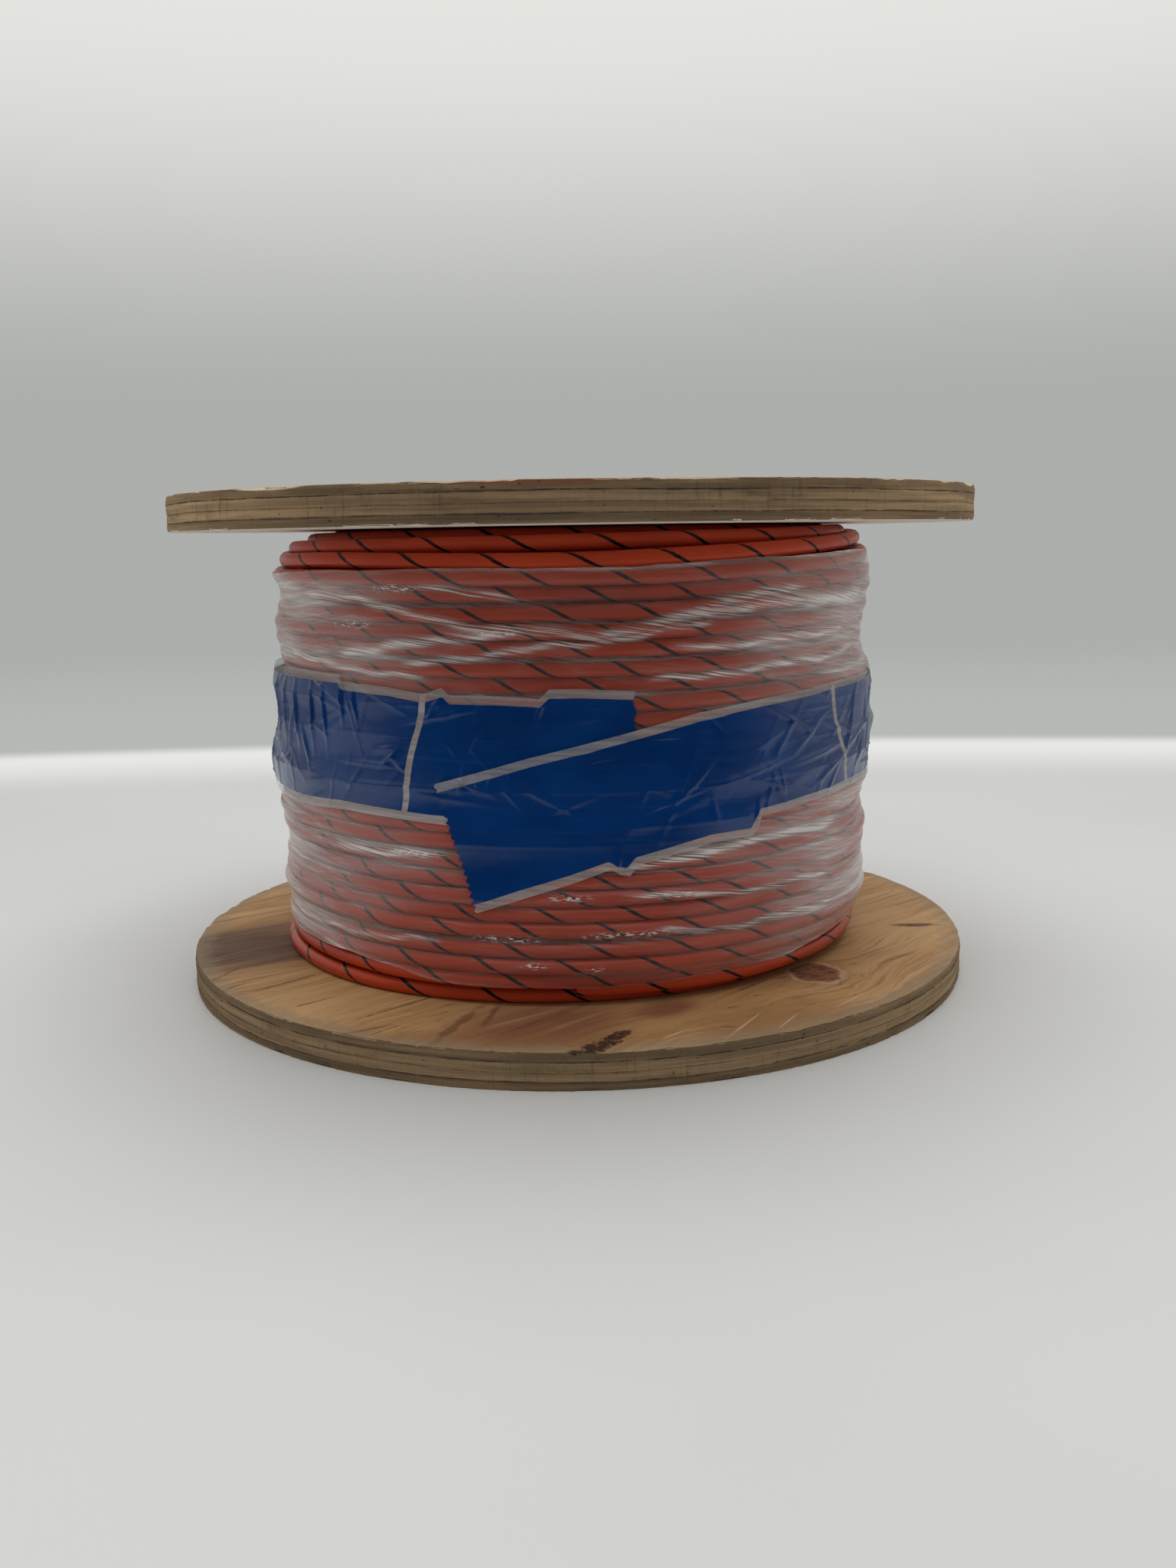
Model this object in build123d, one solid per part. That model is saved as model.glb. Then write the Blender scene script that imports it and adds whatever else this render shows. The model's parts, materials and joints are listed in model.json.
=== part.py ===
"""A small plywood cable drum, full of cable, standing on its lower flange.

The origin is the middle of the lower flange's underside and +Z runs up the drum's axis.
The side that faces -Y is the front. Lengths are millimetres, angles degrees.
"""

import os
from math import cos, degrees, radians, sin, tan

from build123d import *

# Flanges: two equal plywood discs
flange_diameter = 304.8
flange_thickness = 12.7
arbor_diameter = 31.75

# Drum between the flanges: a fibre tube seated in a groove of each
traverse = 158.75
core_diameter = 127.0
core_wall = 6.35
core_groove_depth = 3.2
core_groove_clearance = 0.2

# Tie bolts, which draw the flanges onto the tube, and their nuts, sunk in the underside
bolt_count = 3
bolt_wall_gap = 5.15
bolt_first_angle = -97.0
bolt_diameter = 6.0
bolt_hole_clearance = 0.6
bolt_head_across_flats = 10.0
bolt_head_height = 4.0
nut_across_flats = 10.0
nut_height = 5.0
nut_inset = 0.5
nut_thread_clearance = 0.2
nut_recess_diameter = 15.0

# Cable wound on the drum
cable_diameter = 5.5
winding_diameter = 230.0
winding_core_clearance = 0.3

# The winding is a ring of flat sides; under the film each turn is a rib with a groove to the next
winding_sides = 40
turn_groove_depth = 3.5

# Where the middles of the bare turns lie at the upper shoulder, in cable diameters:
# in from the crown of the outer turns, and down from the upper flange
shoulder_turn_shares = [(0.60, 2.03), (1.26, 1.26), (2.54, 0.75)]

# Stretch film round the winding, several layers thick, and the turns that it leaves bare, foot and top
film_foot_share = 1.5
film_top_share = 3.03
film_thickness = 0.4
film_clearance = 0.2

# Packing tape round the film: a level run, then an end that dips across the front.
# Bearings are degrees from the front, positive to the right
tape_width = 46.0
tape_thickness = 0.4
tape_clearance = 0.2
tape_lap_clearance = 0.1
tape_rise = 85.3
tape_start_bearing = 10.4
tape_dip_bearing = 62.5
tape_end_bearing = -20.0
tape_dip_angle = 17.0

# How far a cutting shape reaches past what it cuts
overrun = 5.0

# Sizes that follow from those above
front_angle = -90.0
full_turn = 360.0
hexagon_sides = 6
octagon_sides = 8
flange_radius = flange_diameter / 2
arbor_radius = arbor_diameter / 2
core_radius = core_diameter / 2
core_bore_radius = core_radius - core_wall
lower_seat = flange_thickness
upper_seat = lower_seat + traverse
overall_height = upper_seat + flange_thickness
cable_radius = cable_diameter / 2
crown_radius = winding_diameter / 2
outer_turn_radius = crown_radius - cable_radius
film_bottom = lower_seat + film_foot_share * cable_diameter
film_top = upper_seat - film_top_share * cable_diameter
film_inner_radius = crown_radius + film_clearance
film_outer_radius = film_inner_radius + film_thickness
tape_inner_radius = film_outer_radius + tape_clearance
tape_middle_height = lower_seat + tape_rise
bolt_circle_radius = core_bore_radius - bolt_wall_gap - bolt_diameter / 2
bolt_places = PolarLocations(bolt_circle_radius, bolt_count, bolt_first_angle)
standing = (Align.CENTER, Align.CENTER, Align.MIN)


def post(radius, bottom, top):
    """An upright round bar on the drum's axis."""
    return Pos(0, 0, bottom) * Cylinder(radius, top - bottom, align=standing)


def sleeve(outer, inner, bottom, top):
    """An upright tube on the drum's axis."""
    return post(outer, bottom, top) - post(inner, bottom - overrun, top + overrun)


def hexagon_block(across_flats, bottom, top):
    """An upright six-sided block on the drum's axis."""
    outline = RegularPolygon(across_flats / 2, hexagon_sides, major_radius=False)
    return extrude(Pos(0, 0, bottom) * outline, top - bottom)


def at_bolts(shape):
    """A copy of the shape at each tie bolt."""
    return [Pos(place.position) * shape for place in bolt_places.locations]


def flange_blank():
    """A flange with its arbor hole, and the tube's groove in its upper face."""
    above = flange_thickness + overrun
    disc = post(flange_radius, 0, flange_thickness) - post(arbor_radius, -overrun, above)
    groove_outer = core_radius + core_groove_clearance
    groove_inner = core_bore_radius - core_groove_clearance
    return disc - sleeve(groove_outer, groove_inner, flange_thickness - core_groove_depth, above)


def bolt_holes():
    hole_radius = (bolt_diameter + bolt_hole_clearance) / 2
    return at_bolts(post(hole_radius, -overrun, overall_height + overrun))


def lower_flange():
    recess = post(nut_recess_diameter / 2, -overrun, nut_inset + nut_height)
    return flange_blank() - bolt_holes() - at_bolts(recess)


def upper_flange():
    blank = Pos(0, 0, overall_height) * Rot(X=full_turn / 2) * flange_blank()
    return blank - bolt_holes()


def core_tube():
    bottom = lower_seat - core_groove_depth
    top = upper_seat + core_groove_depth
    return sleeve(core_radius, core_bore_radius, bottom, top)


def tie_bolt():
    """A hexagon head on the upper flange, and a shank down through the nut."""
    head = hexagon_block(bolt_head_across_flats, overall_height, overall_height + bolt_head_height)
    return head + post(bolt_diameter / 2, nut_inset, overall_height)


def hex_nut():
    top = nut_inset + nut_height
    thread = post((bolt_diameter + nut_thread_clearance) / 2, -overrun, top + overrun)
    return hexagon_block(nut_across_flats, nut_inset, top) - thread


def turn_outline(middle_radius, middle_height):
    """The outward half of one eight-sided turn of cable, as (radius, height) from its foot up."""
    corner = cable_radius * tan(radians(full_turn / octagon_sides / 2))
    return [
        (middle_radius + corner, middle_height - cable_radius),
        (middle_radius + cable_radius, middle_height - corner),
        (middle_radius + cable_radius, middle_height + corner),
        (middle_radius + corner, middle_height + cable_radius),
    ]


def cable_winding():
    """One coil: a bare turn at its foot, ribs under the film, and bare turns that step in at the top."""
    outline = turn_outline(outer_turn_radius, lower_seat + cable_radius)
    foot_top = outline[-1][1]
    rib_count = round((film_top - foot_top) / cable_diameter)
    rib_pitch = (film_top - foot_top) / rib_count
    for rib in range(rib_count):
        rib_top = foot_top + (rib + 1) * rib_pitch
        outline += [(crown_radius, rib_top - rib_pitch / 2), (crown_radius - turn_groove_depth, rib_top)]
    for inward, down in shoulder_turn_shares:
        turn = turn_outline(crown_radius - inward * cable_diameter, upper_seat - down * cable_diameter)
        outline += [point for point in turn if point[1] > outline[-1][1]]
    outline.append((outline[-1][0], upper_seat))

    sections = []
    for radius, height in outline:
        sections.append(Pos(0, 0, height) * RegularPolygon(radius, winding_sides))
    bore = post(core_radius + winding_core_clearance, lower_seat - overrun, upper_seat + overrun)
    return loft(sections, ruled=True) - bore


def stretch_film():
    return sleeve(film_outer_radius, film_inner_radius, film_bottom, film_top)


def bent_strip(inner_radius, bottom, top, first_angle, swept):
    """An upright strip of tape bent round the drum's axis, from an angle about +Z and on."""
    section = Pos(inner_radius, bottom) * Rectangle(tape_thickness, top - bottom, align=Align.MIN)
    return Rot(Z=first_angle) * revolve(Plane.XZ * section, Axis.Z, revolution_arc=swept)


def heading(angle):
    """The level direction at an angle about +Z."""
    return Vector(cos(radians(angle)), sin(radians(angle)), 0)


def packing_tape():
    """One strip: level most of the way round, then lapping its start as it dips across the front."""
    bottom = tape_middle_height - tape_width / 2
    top = tape_middle_height + tape_width / 2
    dip_angle = front_angle + tape_dip_bearing
    level_swept = full_turn + tape_start_bearing - tape_dip_bearing
    level = bent_strip(tape_inner_radius, bottom, top, dip_angle, level_swept)

    # The dipping end bends about a middle that is set back, so that it clears the start it laps
    lap_swing = radians(tape_dip_bearing - tape_start_bearing)
    set_back = (tape_thickness + tape_lap_clearance) / (1 - cos(lap_swing))
    dip_swept = tape_dip_bearing - tape_end_bearing
    uncut_swept = dip_swept + degrees(tape_width / tape_inner_radius) / 2
    set_back_radius = tape_inner_radius + set_back
    strip = bent_strip(set_back_radius, bottom - tape_width, top, dip_angle - uncut_swept, uncut_swept)
    strip = Pos(heading(dip_angle) * -set_back) * strip

    # It keeps to a slab that tilts up towards the side where the level run ends
    tilt = radians(tape_dip_angle)
    middle = Vector(0, 0, tape_middle_height)
    slab_up = heading(dip_angle) * -sin(tilt) + Vector(0, 0, cos(tilt))
    slab_plane = Plane(middle + heading(dip_angle) * tape_inner_radius, z_dir=slab_up)
    slab = extrude(slab_plane * Circle(flange_diameter), tape_width / 2 * cos(tilt), both=True)

    # It is cut off square to its own run
    end_angle = front_angle + tape_end_bearing
    swing = radians(dip_swept)
    drop = tape_inner_radius * tan(tilt) * (1 - cos(swing))
    end = middle + heading(end_angle) * tape_inner_radius - Vector(0, 0, drop)
    onward = heading(end_angle + front_angle) - Vector(0, 0, tan(tilt) * sin(swing))
    cut = extrude(Plane(end, z_dir=onward) * Circle(tape_width), tape_width)
    return level + ((strip & slab) - cut)


parts = {
    "flange_lower": lower_flange(),
    "flange_upper": upper_flange(),
    "core_tube": core_tube(),
    "cable_winding": cable_winding(),
    "stretch_film": stretch_film(),
    "packing_tape": packing_tape(),
}
for number, bolt in enumerate(at_bolts(tie_bolt()), start=1):
    parts[f"tie_bolt_{number}"] = bolt
for number, nut in enumerate(at_bolts(hex_nut()), start=1):
    parts[f"hex_nut_{number}"] = nut

os.makedirs("parts", exist_ok=True)
for name, solid in parts.items():
    export_step(solid, f"parts/{name}.step")
    print(name, round(solid.volume))
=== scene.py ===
import json
from math import cos, pi, radians, sin, sqrt, tau

import bpy
import numpy as np
from mathutils import Matrix, Vector

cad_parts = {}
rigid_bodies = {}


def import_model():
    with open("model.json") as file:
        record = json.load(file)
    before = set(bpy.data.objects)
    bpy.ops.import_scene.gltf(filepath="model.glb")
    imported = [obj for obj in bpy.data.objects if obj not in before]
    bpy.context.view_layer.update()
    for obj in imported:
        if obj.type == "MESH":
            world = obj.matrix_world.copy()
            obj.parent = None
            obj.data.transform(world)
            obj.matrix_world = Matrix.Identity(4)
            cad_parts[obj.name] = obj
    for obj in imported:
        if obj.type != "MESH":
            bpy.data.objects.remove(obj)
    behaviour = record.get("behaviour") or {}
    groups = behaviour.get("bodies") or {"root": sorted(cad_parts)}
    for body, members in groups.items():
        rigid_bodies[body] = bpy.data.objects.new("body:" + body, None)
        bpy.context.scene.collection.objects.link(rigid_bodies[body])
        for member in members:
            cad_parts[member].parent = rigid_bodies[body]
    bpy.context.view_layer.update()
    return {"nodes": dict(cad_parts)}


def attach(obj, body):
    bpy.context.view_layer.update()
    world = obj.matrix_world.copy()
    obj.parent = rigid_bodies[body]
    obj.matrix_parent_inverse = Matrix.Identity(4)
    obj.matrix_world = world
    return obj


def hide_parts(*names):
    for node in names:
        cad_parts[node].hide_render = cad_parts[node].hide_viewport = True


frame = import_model()
scene = bpy.context.scene
nodes = frame["nodes"]
mm = 0.001
print("frame loaded with", len(nodes), "nodes")


# Selection and object helpers

def deselectAll():
    for obj in bpy.context.view_layer.objects:
        obj.select_set(False)


def makeActive(obj):
    deselectAll()
    obj.select_set(True)
    bpy.context.view_layer.objects.active = obj


def newestObject(name):
    obj = bpy.context.view_layer.objects.active
    obj.name = name
    obj.data.name = name
    return obj


def applyPlace(obj):
    makeActive(obj)
    bpy.ops.object.transform_apply(location=True, rotation=True, scale=True)


def readPoints(obj):
    points = np.zeros(len(obj.data.vertices) * 3)
    obj.data.vertices.foreach_get("co", points)
    return points.reshape(-1, 3)


def writePoints(obj, points):
    obj.data.vertices.foreach_set("co", np.ascontiguousarray(points, dtype=np.float32).ravel())
    obj.data.update()


def writeAttribute(obj, name, values):
    layer = obj.data.attributes.new(name, "FLOAT", "POINT")
    layer.data.foreach_set("value", np.ascontiguousarray(values, dtype=np.float32).ravel())


def shadeSmooth(obj, angle=None):
    makeActive(obj)
    if angle is None:
        bpy.ops.object.shade_smooth()
    else:
        bpy.ops.object.shade_smooth_by_angle(angle=radians(angle))


def setMode(mode):
    bpy.ops.object.mode_set(mode=mode)


def smoothStep(low, high, x):
    share = np.clip((x - low) / (high - low), 0, 1)
    return share * share * (3 - 2 * share)


def turnGap(a, b):
    return (a - b + pi) % tau - pi      # shortest way round between two angles


def wander(rng, along, slow, fast, count=5):
    total = np.zeros_like(along)
    for rate, phase in zip(rng.uniform(slow, fast, count), rng.uniform(0, tau, count)):
        total += np.sin(tau * rate * along + phase)
    return total / np.sqrt(count)


# Node helpers

class NodeTree:
    def __init__(self, owner):
        owner.use_nodes = True
        self.tree = owner.node_tree
        self.tree.nodes.clear()

    def add(self, kind, sockets=None, **settings):
        node = self.tree.nodes.new("ShaderNode" + kind)
        for key, value in settings.items():
            setattr(node, key, value)
        for key, value in (sockets or {}).items():
            self.feed(node.inputs[key], value)
        return node

    def feed(self, socket, value):
        if isinstance(value, bpy.types.NodeSocket):
            self.tree.links.new(value, socket)
        elif isinstance(value, (tuple, list)) and len(value) == 3 and socket.type == "RGBA":
            socket.default_value = (*value, 1)
        else:
            socket.default_value = value

    def calc(self, operation, *values, clamp=False):
        return self.add("Math", dict(enumerate(values)), operation=operation, use_clamp=clamp).outputs[0]

    def plus(self, first, second):
        return self.calc("ADD", first, second)

    def minus(self, first, second, clamp=False):
        return self.calc("SUBTRACT", first, second, clamp=clamp)

    def times(self, first, second):
        return self.calc("MULTIPLY", first, second)

    def over(self, first, second):
        return self.calc("DIVIDE", first, second)

    def larger(self, first, second):
        return self.calc("MAXIMUM", first, second)

    def vector(self, operation, *values):
        node = self.add("VectorMath", dict(enumerate(values)), operation=operation)
        return node.outputs["Value" if operation in ("LENGTH", "DOT_PRODUCT") else "Vector"]

    def split(self, vector):
        return self.add("SeparateXYZ", {0: vector}).outputs

    def joined(self, x=0.0, y=0.0, z=0.0):
        return self.add("CombineXYZ", {0: x, 1: y, 2: z}).outputs[0]

    def mix(self, share, first, second, way="MIX"):
        sockets = {0: share, 6: first, 7: second}
        return self.add("Mix", sockets, data_type="RGBA", blend_type=way).outputs[2]

    def between(self, share, first, second):
        return self.add("Mix", {0: share, 2: first, 3: second}, data_type="FLOAT").outputs[0]

    def map(self, value, low, high, toLow=0.0, toHigh=1.0):
        sockets = {0: value, 1: low, 2: high, 3: toLow, 4: toHigh}
        return self.add("MapRange", sockets, interpolation_type="SMOOTHSTEP").outputs[0]

    def stretched(self, coords, scale, turn=0.0, shift=(0, 0, 0)):
        sockets = {"Vector": coords, "Location": shift, "Rotation": (0, 0, turn), "Scale": scale}
        return self.add("Mapping", sockets).outputs[0]

    def noise(self, coords, scale, detail=4.0, rough=0.55, turn=0.0, shift=(0, 0, 0), twist=0.0):
        sockets = {"Vector": self.stretched(coords, scale, turn, shift), "Scale": 1.0,
                   "Detail": detail, "Roughness": rough, "Distortion": twist}
        return self.add("TexNoise", sockets).outputs["Fac"]

    def colourRamp(self, share, stops):
        node = self.add("ValToRGB", {"Fac": share})
        ramp = node.color_ramp
        while len(ramp.elements) < len(stops):
            ramp.elements.new(0.5)
        for element, (place, colour) in zip(ramp.elements, stops):
            element.position = place
            element.color = (*colour, 1)
        return node.outputs["Color"]

    def coords(self):
        return self.add("TexCoord").outputs["Object"]

    def attribute(self, name):
        return self.add("Attribute", attribute_name=name).outputs["Fac"]

    def bumped(self, height, strength, distance, base=None):
        sockets = {"Height": height, "Strength": strength, "Distance": distance}
        if base is not None:
            sockets["Normal"] = base
        return self.add("Bump", sockets).outputs[0]

    def finish(self, sockets):
        shader = self.add("BsdfPrincipled", sockets)
        self.add("OutputMaterial", {"Surface": shader.outputs[0]})


def newMaterial(name):
    mat = bpy.data.materials.new(name)
    return mat, NodeTree(mat)


# Camera, floor, light

view = {
    "place": (4.90 * mm, -556.45 * mm, 167.56 * mm), "pitch": 79.937, "roll": -0.876,
    "lens": 31.95, "sensor": 36, "nearest": 0.01,
}


def makeCamera():
    data = bpy.data.cameras.new("viewer")
    data.lens = view["lens"]
    data.sensor_width = view["sensor"]
    data.clip_start = view["nearest"]
    camera = bpy.data.objects.new("viewer", data)
    scene.collection.objects.link(camera)
    turn = Matrix.Rotation(radians(view["pitch"]), 4, "X") @ Matrix.Rotation(radians(view["roll"]), 4, "Z")
    camera.matrix_world = Matrix.Translation(view["place"]) @ turn
    scene.camera = camera


studio = {
    "floorColour": (0.79, 0.79, 0.775), "floorShade": (0.755, 0.755, 0.742), "floorReach": 6.0,
    "fadeFrom": 0.40, "fadeTo": 0.56, "bandWidth": 0.06, "farFrom": 1.7, "fadeFlat": 0.42,
    "frontEdge": (-0.34, -0.40), "glossEdge": (-0.15, -0.29),
    "bandColour": (0.80, 0.805, 0.785), "horizonColour": (0.470, 0.482, 0.463),
    "farColour": (0.415, 0.425, 0.410), "highColour": (0.78, 0.785, 0.75), "fillColour": (0.98, 1.0, 0.985),
    "frontFill": 0.24, "sideFill": 0.33, "lowShare": 0.60, "highShare": 1.25, "frontGloss": 0.05,
    "lampSize": (1.2, 1.0), "lampPlace": (0.05, 0.20, 1.35), "lampPower": 8.9,
    "stripSize": (0.75, 0.035), "stripPlace": (-0.05, -0.42, 0.80), "stripPower": 1.1, "aim": (0, 0, 0.08),
}


def fillLevel(tree, ahead):
    # the studio's fill light is dimmer in front than at the sides
    return tree.map(ahead, -0.95, -0.10, studio["frontFill"], studio["sideFill"])


def glossLevel(tree, ahead):
    # gloss shows the backdrop too, all but dark towards the front
    return tree.map(ahead, -0.75, -0.10, studio["frontGloss"], 1.0)


def makeFloor():
    deselectAll()
    bpy.ops.mesh.primitive_plane_add(size=2 * studio["floorReach"], location=(0, 0, 0))
    floor = newestObject("floor")
    mat, tree = newMaterial("pale floor")
    coords = tree.coords()
    cloud = tree.noise(coords, (3, 3, 3), 3)
    tint = tree.mix(tree.map(cloud, 0.3, 0.7), studio["floorColour"], studio["floorShade"])
    near = tree.add("BsdfPrincipled", {"Base Color": tint, "Roughness": 0.6, "Specular IOR Level": 0.25})
    rays = tree.add("LightPath").outputs
    seen, glossy = rays["Is Camera Ray"], rays["Is Glossy Ray"]
    ahead = tree.split(coords)[1]
    outward = tree.split(tree.vector("NORMALIZE", coords))[1]

    # far out the floor turns into a pale band and then into the backdrop
    length = tree.vector("LENGTH", tree.vector("MULTIPLY", coords, (studio["fadeFlat"], 1, 1)))
    bandEnd = studio["fadeTo"] + studio["bandWidth"]
    outOfBand = tree.map(length, studio["fadeTo"], bandEnd)
    horizon = tree.mix(outOfBand, studio["bandColour"], studio["horizonColour"])
    horizon = tree.mix(tree.map(length, bandEnd, studio["farFrom"]), horizon, studio["farColour"])
    shown = tree.add("Emission", {"Color": horizon, "Strength": 1.0})
    level = tree.times(fillLevel(tree, outward), tree.between(glossy, 1.0, glossLevel(tree, outward)))
    lit = tree.add("Emission", {"Color": studio["fillColour"], "Strength": level})
    far = tree.add("MixShader", {0: seen, 1: lit.outputs[0], 2: shown.outputs[0]})
    away = tree.map(length, studio["fadeFrom"], studio["fadeTo"])
    past = tree.times(tree.map(ahead, *studio["frontEdge"]), tree.minus(1.0, seen))
    darker = tree.times(tree.map(ahead, *studio["glossEdge"]), glossy)
    share = tree.larger(away, tree.larger(past, darker))
    both = tree.add("MixShader", {0: share, 1: near.outputs[0], 2: far.outputs[0]})
    tree.add("OutputMaterial", {"Surface": both.outputs[0]})
    floor.data.materials.append(mat)


def softbox(name, place, size, power):
    data = bpy.data.lights.new(name, "AREA")
    data.shape = "RECTANGLE"
    data.size, data.size_y = size
    data.energy = power
    lamp = bpy.data.objects.new(name, data)
    scene.collection.objects.link(lamp)
    lamp.location = place
    lamp.rotation_euler = (Vector(studio["aim"]) - Vector(place)).to_track_quat("-Z", "Y").to_euler()


def makeLight():
    world = bpy.data.worlds.new("studio")
    scene.world = world
    tree = NodeTree(world)
    rays = tree.add("LightPath").outputs
    toward = tree.split(tree.add("TexCoord").outputs["Generated"])
    direct = tree.larger(rays["Is Camera Ray"], rays["Is Transmission Ray"])
    seen = tree.larger(direct, rays["Is Glossy Ray"])
    backdrop = tree.mix(tree.map(toward[2], 0.08, 0.34), studio["farColour"], studio["highColour"])
    level = tree.larger(direct, glossLevel(tree, toward[1]))
    shown = tree.add("Background", {"Color": backdrop, "Strength": level})
    rising = tree.map(toward[2], 0.0, 0.5, studio["lowShare"], studio["highShare"])
    level = tree.times(fillLevel(tree, toward[1]), rising)
    fill = tree.add("Background", {"Color": studio["fillColour"], "Strength": level})
    both = tree.add("MixShader", {0: seen, 1: fill.outputs[0], 2: shown.outputs[0]})
    tree.add("OutputWorld", {"Surface": both.outputs[0]})
    softbox("overhead", studio["lampPlace"], studio["lampSize"], studio["lampPower"])
    softbox("strip", studio["stripPlace"], studio["stripSize"], studio["stripPower"])


makeCamera()
makeFloor()
makeLight()
scene.view_settings.view_transform = "Standard"
print("camera, floor and light made")


# The wound cable: one right-handed run, foot turn to shoulder, over an under layer

# Bearings are degrees from the front, positive to the right; the run goes on past a full turn
winding = {
    "seed": 11, "radius": 2.75, "stepsPerTurn": 120, "sides": 12, "seat": 12.7, "join": -78, "soften": 9,
    "foot": [  # bearing, radius, height of the turn that lies on the flange
        (-290, 94, 15.45), (-240, 99, 15.45), (-180, 106, 15.45), (-120, 112, 15.45), (-78, 114, 15.45),
        (-50, 113, 15.45), (-35, 111, 15.45), (-26, 109, 15.45), (-10, 107, 15.45), (3, 104.8, 15.45),
        (18, 103.4, 15.45), (35, 102.2, 15.45), (50, 101.3, 15.5), (78, 101.5, 15.9), (100, 102.5, 17.5),
        (130, 104.5, 19.5), (180, 108.5, 20.8), (240, 111.5, 21.3), (282, 112.2, 21.45)],
    "top": [  # the same for the topmost full turn and the turns that step in above it
        (-78, 110.2, 160.3), (-50, 110.4, 161.2), (-30, 110.5, 160.7), (0, 110.5, 160.1), (14, 110.5, 161.0),
        (30, 110.4, 162.2), (47, 110.0, 163.5), (78, 108.5, 166.3), (130, 107.4, 167.4), (180, 107.0, 166.8),
        (230, 106.7, 165.6), (282, 106.5, 164.9), (330, 106.3, 165.5), (360, 106, 166), (390, 105, 166.8),
        (420, 103.8, 167.8), (440, 102.8, 168.3), (500, 101.2, 168.6), (560, 100.4, 168.2),
        (642, 99.5, 167.6), (720, 98, 168.2), (800, 95.5, 168.65), (900, 92, 168.65), (1002, 90, 168.65),
        (1100, 86, 168.65)],
    "rows": 25, "rowRadius": 112.25, "tightest": 5.42, "mostStepOut": 4.4,
    "heightWander": 0.8, "radiusWander": 0.6,
    "lumps": [  # bearing, height, spread of bearing, spread of height, push outwards of the rows there
        (-88, 147, 42, 5, -2.6), (-88, 136, 40, 7, 1.2), (-90, 123, 42, 5, -3.0), (-92, 68, 40, 9, 2.2),
        (-92, 41, 40, 7, 1.8), (86, 148, 35, 4, 1.0), (80, 132, 42, 9, -3.4), (86, 111, 30, 6, 1.4),
        (86, 67, 35, 5, -2.2), (86, 48, 35, 5, -1.6), (9, 150, 24, 6, -4.6), (5, 124, 25, 3, -1.8),
        (-40, 62, 25, 4, -1.0), (170, 100, 50, 7, -2.2), (200, 140, 45, 6, -2.4), (150, 55, 50, 6, -2.2),
        (225, 60, 40, 7, 1.6), (140, 128, 40, 6, 1.4)],
    "underRadius": 108.2, "underTop": 158.0, "underSides": 8, "underStride": 5.0,
    "fillers": [(102.9, 140.0, 163.0), (97.6, 147.0, 166.0), (92.2, 152.0, 163.2)],
    "stripePitch": 0.0285, "stripeShare": 0.078, "stripeShift": 0.54,
    "orange": (0.60, 0.066, 0.019), "deepOrange": (0.52, 0.054, 0.0155), "scuffed": (0.66, 0.17, 0.09),
    "black": (0.010, 0.009, 0.010),
}


def bumpSum(bearing, height, places):
    # the sum of soft round swellings: bearing, height, their spreads, and how much
    total = np.zeros_like(bearing)
    for where, level, spread, tall, much in places:
        off = (bearing - where + 180) % 360 - 180
        total += much * np.exp(-(off / spread) ** 2 - ((height - level) / tall) ** 2)
    return total


def tableRun(table, bearings):
    rows = np.array(table, float)
    return np.interp(bearings, rows[:, 0], rows[:, 1]), np.interp(bearings, rows[:, 0], rows[:, 2])


def hump(width):
    kernel = np.hanning(width + 2)[1:-1]
    return kernel / kernel.sum()


def softened(values):
    width = winding["soften"]
    padded = np.concatenate([np.full(width, values[0]), values, np.full(width, values[-1])])
    return np.convolve(padded, hump(width), "same")[width:-width]


def spacedRows(height, footHeight, topHeight):
    # no row may sink into the next, upwards and then downwards
    steps, gap = winding["stepsPerTurn"], winding["tightest"]
    for _ in range(3):
        for i in range(steps, len(height)):
            height[i] = max(height[i], height[i - steps] + gap)
        height[-steps:] = np.minimum(height[-steps:], topHeight - gap)
        for i in range(len(height) - steps - 1, -1, -1):
            height[i] = min(height[i], height[i + steps] - gap)
        height[:steps] = footHeight
    return height


def windRows():
    rng = np.random.default_rng(winding["seed"])
    steps, rows, join = winding["stepsPerTurn"], winding["rows"], winding["join"]
    foot, top = winding["foot"], winding["top"]
    stride = 360 / steps
    leadIn = np.arange(foot[0][0], join, stride)
    oneTurn = join + np.arange(steps) * stride
    footRadius, footHeight = tableRun(foot, oneTurn)
    topHeight = np.maximum.accumulate(tableRun(top, oneTurn)[1])
    topHeight = np.where(oneTurn > -join, topHeight.max(), topHeight)

    turn = np.repeat(np.arange(rows), steps)
    bearing = np.tile(oneTurn, rows) + 360 * turn
    along = (bearing - join) / 360
    share = turn / rows
    height = np.tile(footHeight, rows) * (1 - share) + np.tile(topHeight, rows) * share
    ease = np.clip(along, 0, 2) / 2 * np.clip(rows - along, 0, 2) / 2
    height += winding["heightWander"] * wander(rng, along, 0.25, 1.1) * ease
    height = spacedRows(height, footHeight, topHeight)
    radius = winding["rowRadius"] + winding["radiusWander"] * wander(rng, along, 0.3, 1.4)
    radius += bumpSum(bearing, height, winding["lumps"])
    radius[:steps] = footRadius
    for i in range(steps, len(radius)):
        radius[i] = min(radius[i], radius[i - steps] + winding["mostStepOut"])
    blendIn = smoothStep(rows - 0.8, rows, along)
    radius = radius * (1 - blendIn) + top[0][1] * blendIn

    topBearing = np.arange(join, top[-1][0], stride)
    leadRadius, leadHeight = tableRun(foot, leadIn)
    overRadius, overHeight = tableRun(top, topBearing)
    bearing = np.concatenate([leadIn, bearing, topBearing + 360 * rows])
    radius = softened(np.concatenate([leadRadius, radius, overRadius]))
    height = softened(np.concatenate([leadHeight, height, overHeight]))
    return bearing, radius, height


def drumPoints(bearing, radius, height):
    angle = np.radians(bearing)
    return np.stack([radius * np.sin(angle), -radius * np.cos(angle), height], axis=1) * mm


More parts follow.
